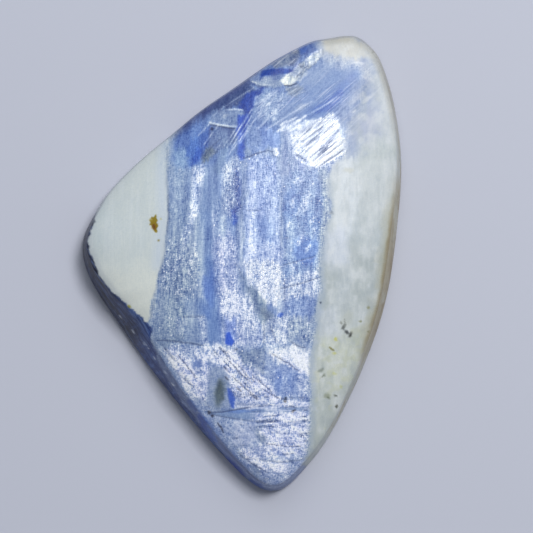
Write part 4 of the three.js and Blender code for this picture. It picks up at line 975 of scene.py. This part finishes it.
# normals of the plain shape, for the relief
v = verts
fn = np.cross(v[faces[:, 1]] - v[faces[:, 0]], v[faces[:, 2]] - v[faces[:, 0]])
vn = np.zeros_like(v)
for k in range(3):
    np.add.at(vn, faces[:, k], fn)
vn /= np.maximum(np.linalg.norm(vn, axis=1)[:, None], 1e-12)
relief = paint.relief * (1 - is_back)
final = v + vn * relief[:, None]
lo, hi = np.array(CAD_BOX[0]) * 1000, np.array(CAD_BOX[1]) * 1000
final[:, 2] = np.where(is_back > 0.5, 0.0, final[:, 2])
final = np.clip(final, lo + [0.002, 0.002, 0], hi - [0.002, 0.002, 0.002])

mesh = bpy.data.meshes.new("cabochon_fine")
mesh.vertices.add(N)
mesh.vertices.foreach_set("co", (final * MM).astype(np.float32).ravel())
mesh.loops.add(len(faces) * 3)
mesh.loops.foreach_set("vertex_index", faces.astype(np.int32).ravel())
mesh.polygons.add(len(faces))
mesh.polygons.foreach_set("loop_start", np.arange(0, len(faces) * 3, 3, dtype=np.int32))
mesh.polygons.foreach_set("use_smooth", np.ones(len(faces), bool))
mesh.update(calc_edges=True)
mesh.validate()

edge_v = np.empty(len(mesh.edges) * 2, np.int32)
mesh.edges.foreach_get("vertices", edge_v)
edge_v = edge_v.reshape(-1, 2)
sharp = (edge_v < RIM).all(1)
attr = mesh.attributes.new("sharp_edge", "BOOLEAN", "EDGE")
attr.data.foreach_set("value", sharp)


def colour_attribute(name, a, b, c, d=None):
    layer = mesh.attributes.new(name, "FLOAT_COLOR", "POINT")
    data = np.c_[a, b, c, np.ones(N) if d is None else d].astype(np.float32)
    layer.data.foreach_set("color", data.ravel())


colour_attribute("tint", *linear.T)
colour_attribute("mask_a", np.clip(paint.fibre, 0, 1), np.clip(paint.fleck, 0, 1), np.clip(paint.scratch, 0, 1))
colour_attribute("mask_b", np.clip(paint.net, 0, 1), np.clip(paint.kyanite, 0, 1), np.clip(paint.gloss, 0, 1))
colour_attribute("mask_c", is_back, is_wall, np.clip(dark, 0, 1))

stone = bpy.data.objects.new("cabochon_stone", mesh)
bpy.context.scene.collection.objects.link(stone)

# ------------------------------------------------------------------ material
mat = bpy.data.materials.new("kyanite_in_matrix")
mat.use_nodes = True
nt = mat.node_tree
nt.nodes.clear()
L = nt.links.new


def node(kind, **props):
    n = nt.nodes.new(kind)
    for k, val in props.items():
        setattr(n, k, val)
    return n


def put(socket, value):
    if isinstance(value, bpy.types.NodeSocket):
        L(value, socket)
    else:
        socket.default_value = value


def math_node(op, a, b=None, c=None, clamp=False):
    n = node("ShaderNodeMath", operation=op, use_clamp=clamp)
    put(n.inputs[0], a)
    if b is not None:
        put(n.inputs[1], b)
    if c is not None:
        put(n.inputs[2], c)
    return n.outputs[0]


def remap(x, a, b, lo=0.0, hi=1.0, smooth=True):
    n = node("ShaderNodeMapRange", interpolation_type="SMOOTHSTEP" if smooth else "LINEAR", clamp=True)
    put(n.inputs["Value"], x)
    n.inputs["From Min"].default_value, n.inputs["From Max"].default_value = a, b
    n.inputs["To Min"].default_value, n.inputs["To Max"].default_value = lo, hi
    return n.outputs["Result"]


def mix(a, b, f, blend="MIX"):
    n = node("ShaderNodeMix", data_type="RGBA", blend_type=blend, clamp_factor=True)
    put(n.inputs["Factor"], f)
    put(n.inputs["A"], a)
    put(n.inputs["B"], b)
    return [o for o in n.outputs if o.type == "RGBA"][0]


def attribute(name):
    n = node("ShaderNodeAttribute", attribute_name=name, attribute_type="GEOMETRY")
    s = node("ShaderNodeSeparateColor")
    L(n.outputs["Color"], s.inputs[0])
    return n.outputs["Color"], s.outputs[0], s.outputs[1], s.outputs[2]


coord = node("ShaderNodeTexCoord").outputs["Object"]


def place(scale, turn=0.0, shift=(0, 0, 0)):
    """Object coordinates in mm, turned about Z in degrees, then stretched: noise cells per mm on each axis."""
    m1 = node("ShaderNodeMapping", vector_type="POINT")
    L(coord, m1.inputs["Vector"])
    m1.inputs["Rotation"].default_value = (0, 0, math.radians(turn))
    m1.inputs["Scale"].default_value = (1000, 1000, 1000)
    m1.inputs["Location"].default_value = shift
    m2 = node("ShaderNodeMapping", vector_type="POINT")
    L(m1.outputs[0], m2.inputs["Vector"])
    m2.inputs["Scale"].default_value = scale
    return m2.outputs[0]


def noise(vec, detail=2.0, rough=0.5, distort=0.0, lac=2.0):
    n = node("ShaderNodeTexNoise", noise_dimensions="3D")
    L(vec, n.inputs["Vector"])
    n.inputs["Scale"].default_value = 1.0
    n.inputs["Detail"].default_value = detail
    n.inputs["Roughness"].default_value = rough
    n.inputs["Distortion"].default_value = distort
    n.inputs["Lacunarity"].default_value = lac
    return n.outputs["Fac"]


def voronoi_edge(vec):
    n = node("ShaderNodeTexVoronoi", feature="DISTANCE_TO_EDGE")
    L(vec, n.inputs["Vector"])
    n.inputs["Scale"].default_value = 1.0
    return n.outputs["Distance"]


tint, _, _, _ = attribute("tint")
_, m_fibre, m_fleck, m_scratch = attribute("mask_a")
_, m_net, m_kyanite, m_gloss = attribute("mask_b")
_, m_back, m_wall, m_side = attribute("mask_c")

fine_fibre = noise(place((7.0, 0.75, 5.0), turn=3.0), 4, 0.62)
hair_fibre = noise(place((13.0, 0.6, 9.0), turn=2.5, shift=(2, 9, 3)), 2, 0.5)
coarse_fibre = noise(place((2.3, 0.28, 2.0), turn=3.0, shift=(5, 3, 0)), 2, 0.5)
grain = noise(place((5.6, 4.0, 5.6), turn=3.0, shift=(9, 1, 4)), 3, 0.62, distort=0.7)
grain_long = noise(place((5.2, 1.3, 4.0), turn=2.0, shift=(3, 7, 1)), 3, 0.62, distort=0.3)
hairline = noise(place((0.5, 9.0, 1.0), turn=-3.0, shift=(2, 2, 8)), 2, 0.5, distort=0.2)
patchy = noise(place((0.55, 0.3, 0.5), shift=(1, 4, 2)), 3, 0.55)
diag = noise(place((0.30, 6.5, 1.0), turn=-41.0, shift=(1, 8, 3)), 2, 0.55)
diag_short = noise(place((0.8, 4.2, 1.0), turn=-41.0, shift=(6, 2, 5)), 2, 0.6, distort=0.2)
saw = noise(place((0.10, 4.5, 1.0), turn=-68.0, shift=(4, 4, 4)), 3, 0.6)
pitted = noise(place((3.2, 3.2, 3.2), shift=(8, 1, 6)), 3, 0.6)
side_runs = noise(place((0.5, 5.5, 3.6), turn=57.0, shift=(3, 5, 6)), 3, 0.62, distort=0.25)
warped = node("ShaderNodeVectorMath", operation="ADD")
L(place((3.1, 2.2, 3.0)), warped.inputs[0])
wn = node("ShaderNodeTexNoise"); wn.inputs["Scale"].default_value = 900.0; wn.inputs["Detail"].default_value = 2.0
L(coord, wn.inputs["Vector"])
wm = node("ShaderNodeVectorMath", operation="SCALE"); L(wn.outputs["Color"], wm.inputs[0]); wm.inputs["Scale"].default_value = 1.1
L(wm.outputs[0], warped.inputs[1])
crackle = voronoi_edge(warped.outputs[0])


def centred(x, gain):
    return math_node("MULTIPLY", math_node("SUBTRACT", x, 0.5), gain)


def total(*terms):
    out_ = terms[0]
    for t_ in terms[1:]:
        out_ = math_node("ADD", out_, t_)
    return out_


# small cleavage facets, each with its own brightness, their outlines bent by noise
bent = node("ShaderNodeVectorMath", operation="ADD")
L(place((4.8, 3.0, 4.4), turn=4.0, shift=(4, 4, 1)), bent.inputs[0])
bend = node("ShaderNodeTexNoise"); bend.inputs["Scale"].default_value = 3200.0; bend.inputs["Detail"].default_value = 2.0
L(coord, bend.inputs["Vector"])
bend_by = node("ShaderNodeVectorMath", operation="SCALE"); L(bend.outputs["Color"], bend_by.inputs[0]); bend_by.inputs["Scale"].default_value = 1.3
L(bend_by.outputs[0], bent.inputs[1])
facets = node("ShaderNodeTexVoronoi", feature="F1")
L(bent.outputs[0], facets.inputs["Vector"])
facets.inputs["Scale"].default_value = 1.0
facet_pick = node("ShaderNodeSeparateColor")
L(facets.outputs["Color"], facet_pick.inputs[0])
# one signed field: above 0 the cleavage catches light, below 0 it is dark between blades
blade_term = math_node("MULTIPLY", total(centred(fine_fibre, 2.2), centred(hair_fibre, 1.3), centred(coarse_fibre, 1.2)), m_fibre)
# two sets of short cleavage lines that cross, up the blades and over them
grit_up = noise(place((10.0, 2.4, 10.0), turn=3.0, shift=(1, 5, 7)), 2, 0.6, distort=0.3)
grit_over = noise(place((3.2, 9.0, 3.2), turn=-7.0, shift=(6, 2, 8)), 2, 0.6, distort=0.5)
grit = math_node("MULTIPLY_ADD", math_node("SUBTRACT", math_node("ADD", grit_up, grit_over), 1.0), 0.8, 0.5)
fleck_term = math_node("MULTIPLY", total(centred(facet_pick.outputs[0], 0.6), centred(grain, 2.0), centred(grit, 1.0), centred(grain_long, 0.8)), m_fleck)
hair_dark = math_node("MULTIPLY", remap(hairline, 0.36, 0.29), math_node("MULTIPLY", m_kyanite, m_fibre))
grit_all = math_node("MULTIPLY", centred(grit, 1.0), math_node("MULTIPLY_ADD", m_kyanite, 1.0, math_node("MULTIPLY_ADD", m_fleck, 2.4, 0.25)))
field = total(blade_term, fleck_term, grit_all, math_node("MULTIPLY", hair_dark, -0.22))
gain = node("ShaderNodeVectorMath", operation="MULTIPLY_ADD")
spread = node("ShaderNodeCombineXYZ")
for k_ in range(3):
    L(field, spread.inputs[k_])
L(spread.outputs[0], gain.inputs[0])
gain.inputs[1].default_value = (0.95, 0.76, 0.42)
gain.inputs[2].default_value = (1.0, 1.0, 1.0)
floor_gain = node("ShaderNodeVectorMath", operation="MAXIMUM")
L(gain.outputs[0], floor_gain.inputs[0])
floor_gain.inputs[1].default_value = (0.34, 0.42, 0.56)
shaded = node("ShaderNodeVectorMath", operation="MULTIPLY")
L(tint, shaded.inputs[0])
L(floor_gain.outputs[0], shaded.inputs[1])
ceiling = node("ShaderNodeVectorMath", operation="MINIMUM")          # the palest cleavage stays a cool white
L(shaded.outputs[0], ceiling.inputs[0])
ceiling.inputs[1].default_value = (0.87, 0.90, 1.0)
# painted sheen: where the cleavage flecks catch light, the colour is pushed to a cool white
light = remap(fleck_term, 0.26, 0.44)
c = mix(ceiling.outputs[0], (0.87, 0.90, 1.0, 1), math_node("MULTIPLY", light, 0.60))
# crackle
net_line = math_node("MULTIPLY", remap(crackle, 0.11, 0.0), m_net)
c = mix(c, (0.42, 0.48, 0.64, 1), math_node("MULTIPLY", net_line, 0.8), "MULTIPLY")
# pin-point glints: a few cells of a fine cell pattern
cells = node("ShaderNodeTexVoronoi", feature="F1")
L(place((3.4, 2.4, 3.4), turn=2.0, shift=(6, 1, 2)), cells.inputs["Vector"])
cells.inputs["Scale"].default_value = 1.0
pick = node("ShaderNodeSeparateColor")
L(cells.outputs["Color"], pick.inputs[0])
chosen = math_node("GREATER_THAN", pick.outputs[0], math_node("MULTIPLY_ADD", m_fleck, -0.5, 0.98))
size_ = math_node("MULTIPLY_ADD", pick.outputs[1], 0.16, 0.10)
glint = math_node("MULTIPLY", math_node("SUBTRACT", size_, cells.outputs["Distance"]), 14.0, clamp=True)
glint = math_node("MULTIPLY", math_node("MULTIPLY", glint, chosen), remap(m_fleck, 0.1, 0.5))
c = mix(c, (0.93, 0.95, 1.0, 1), math_node("MULTIPLY", glint, 0.8))
fleck = math_node("MAXIMUM", light, glint)
# diagonal scratches
s_light = math_node("MULTIPLY", remap(diag, 0.57, 0.66), m_scratch)
s_dark = math_node("MULTIPLY", math_node("MAXIMUM", remap(diag, 0.43, 0.35), remap(diag_short, 0.40, 0.33)), m_scratch)
c = mix(c, (0.82, 0.86, 0.95, 1), math_node("MULTIPLY", s_light, 0.6))
c = mix(c, (0.45, 0.50, 0.62, 1), math_node("MULTIPLY", s_dark, 0.75), "MULTIPLY")

# streaks along the steep dark side
side_light = math_node("MULTIPLY", remap(side_runs, 0.53, 0.66), m_side)
side_dark = math_node("MULTIPLY", remap(side_runs, 0.47, 0.36), m_side)
c = mix(c, (0.12, 0.18, 0.36, 1), math_node("MULTIPLY", side_light, 0.6))
c = mix(c, (0.36, 0.38, 0.50, 1), math_node("MULTIPLY", side_dark, 0.8), "MULTIPLY")

# ground back: fine parallel marks and pores
saw_dark = math_node("MULTIPLY", remap(saw, 0.47, 0.36), m_back)
pore = math_node("MULTIPLY", remap(pitted, 0.33, 0.27), math_node("MAXIMUM", m_back, math_node("MULTIPLY", m_wall, 0.6)))
c = mix(c, (0.72, 0.74, 0.78, 1), math_node("MULTIPLY", saw_dark, 0.6), "MULTIPLY")
c = mix(c, (0.36, 0.34, 0.32, 1), math_node("MULTIPLY", pore, 0.7), "MULTIPLY")

rough = remap(m_gloss, 0.0, 1.0, 0.40, 0.13, smooth=False)
rough = math_node("ADD", rough, math_node("MULTIPLY", s_dark, 0.30))
rough = math_node("ADD", rough, remap(patchy, 0.35, 0.65, -0.03, 0.05))
rough = math_node("SUBTRACT", rough, math_node("MULTIPLY", fleck, 0.08))
rough = math_node("ADD", rough, math_node("MULTIPLY", m_back, 0.22))
rough = math_node("ADD", rough, math_node("MULTIPLY", m_wall, 0.12), clamp=True)

height = math_node("MULTIPLY", field, 0.35)
height = math_node("ADD", height, math_node("MULTIPLY", fleck, 0.32))
height = math_node("SUBTRACT", height, math_node("MULTIPLY", net_line, 0.4))
height = math_node("SUBTRACT", height, math_node("MULTIPLY", s_dark, 0.5))
height = math_node("ADD", height, math_node("MULTIPLY", math_node("MULTIPLY", diag, m_scratch), 0.6))
height = math_node("ADD", height, math_node("MULTIPLY", patchy, 0.15))
height = math_node("ADD", height, math_node("MULTIPLY", math_node("MULTIPLY", saw, m_back), 1.6))
height = math_node("SUBTRACT", height, math_node("MULTIPLY", pore, 1.2))
height = math_node("ADD", height, math_node("MULTIPLY", math_node("MULTIPLY", side_runs, m_side), 1.4))
bump = node("ShaderNodeBump")
bump.inputs["Strength"].default_value = 0.55
bump.inputs["Distance"].default_value = 0.00004
L(height, bump.inputs["Height"])

bsdf = node("ShaderNodeBsdfPrincipled")
L(c, bsdf.inputs["Base Color"])
L(rough, bsdf.inputs["Roughness"])
L(bump.outputs[0], bsdf.inputs["Normal"])
bsdf.inputs["IOR"].default_value = 1.5
out = node("ShaderNodeOutputMaterial")
L(bsdf.outputs[0], out.inputs["Surface"])
mesh.materials.append(mat)

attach(stone, "root")
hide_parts("cabochon")

# ------------------------------------------------------------------ studio
floor_mesh = bpy.data.meshes.new("floor")
R = 3.0
floor_mesh.from_pydata([(-R, -R, 0), (R, -R, 0), (R, R, 0), (-R, R, 0)], [], [(0, 1, 2, 3)])
floor = bpy.data.objects.new("floor", floor_mesh)
bpy.context.scene.collection.objects.link(floor)
floor.location.z = -0.00002
fm = bpy.data.materials.new("pale_floor")
fm.use_nodes = True
fb = fm.node_tree.nodes["Principled BSDF"]
fb.inputs["Base Color"].default_value = (0.45, 0.47, 0.55, 1)
fb.inputs["Roughness"].default_value = 0.7
floor_mesh.materials.append(fm)

AIM = Vector((2.457, -0.3355, 0.45)) * MM
DIST = 0.26


def area_light(name, where, target, size, power, colour=(1, 1, 1), size_y=None):
    d = bpy.data.lights.new(name, "AREA")
    d.energy = power
    d.color = colour
    d.size = size
    if size_y:
        d.shape = "RECTANGLE"
        d.size_y = size_y
    o = bpy.data.objects.new(name, d)
    bpy.context.scene.collection.objects.link(o)
    o.location = where
    o.rotation_euler = (Vector(target) - Vector(where)).to_track_quat("-Z", "Y").to_euler()
    return o


def polar(tilt, az, dist, target=(0.0, 0.0, 0.005)):
    t, a = math.radians(tilt), math.radians(az)
    return (target[0] + dist * math.sin(t) * math.cos(a), target[1] + dist * math.sin(t) * math.sin(a), target[2] + dist * math.cos(t))


area_light("key", polar(25, 50, 0.45, (0.006, 0.010, 0.005)), (0.006, 0.010, 0.005), 0.125, 1.55, (1.0, 0.99, 0.975))
area_light("soft", polar(42, 88, 0.70), (0, 0, 0.004), 0.55, 1.5, (0.96, 0.98, 1.0))

world = bpy.data.worlds.new("studio")
bpy.context.scene.world = world
world.use_nodes = True
world.node_tree.nodes["Background"].inputs[0].default_value = (0.84, 0.90, 1.0, 1)
world.node_tree.nodes["Background"].inputs[1].default_value = 0.26

cam_data = bpy.data.cameras.new("camera")
cam = bpy.data.objects.new("camera", cam_data)
bpy.context.scene.collection.objects.link(cam)
cam_data.sensor_width = 36.0
cam_data.lens = 36.0 * DIST / 0.0533
cam_data.clip_start = 0.005
cam_data.clip_end = 20
cam.location = (AIM.x, AIM.y, AIM.z + DIST)
cam.rotation_euler = (0, 0, 0)
bpy.context.scene.camera = cam
bpy.context.scene.view_settings.view_transform = "Standard"
bpy.context.scene.view_settings.look = "None"
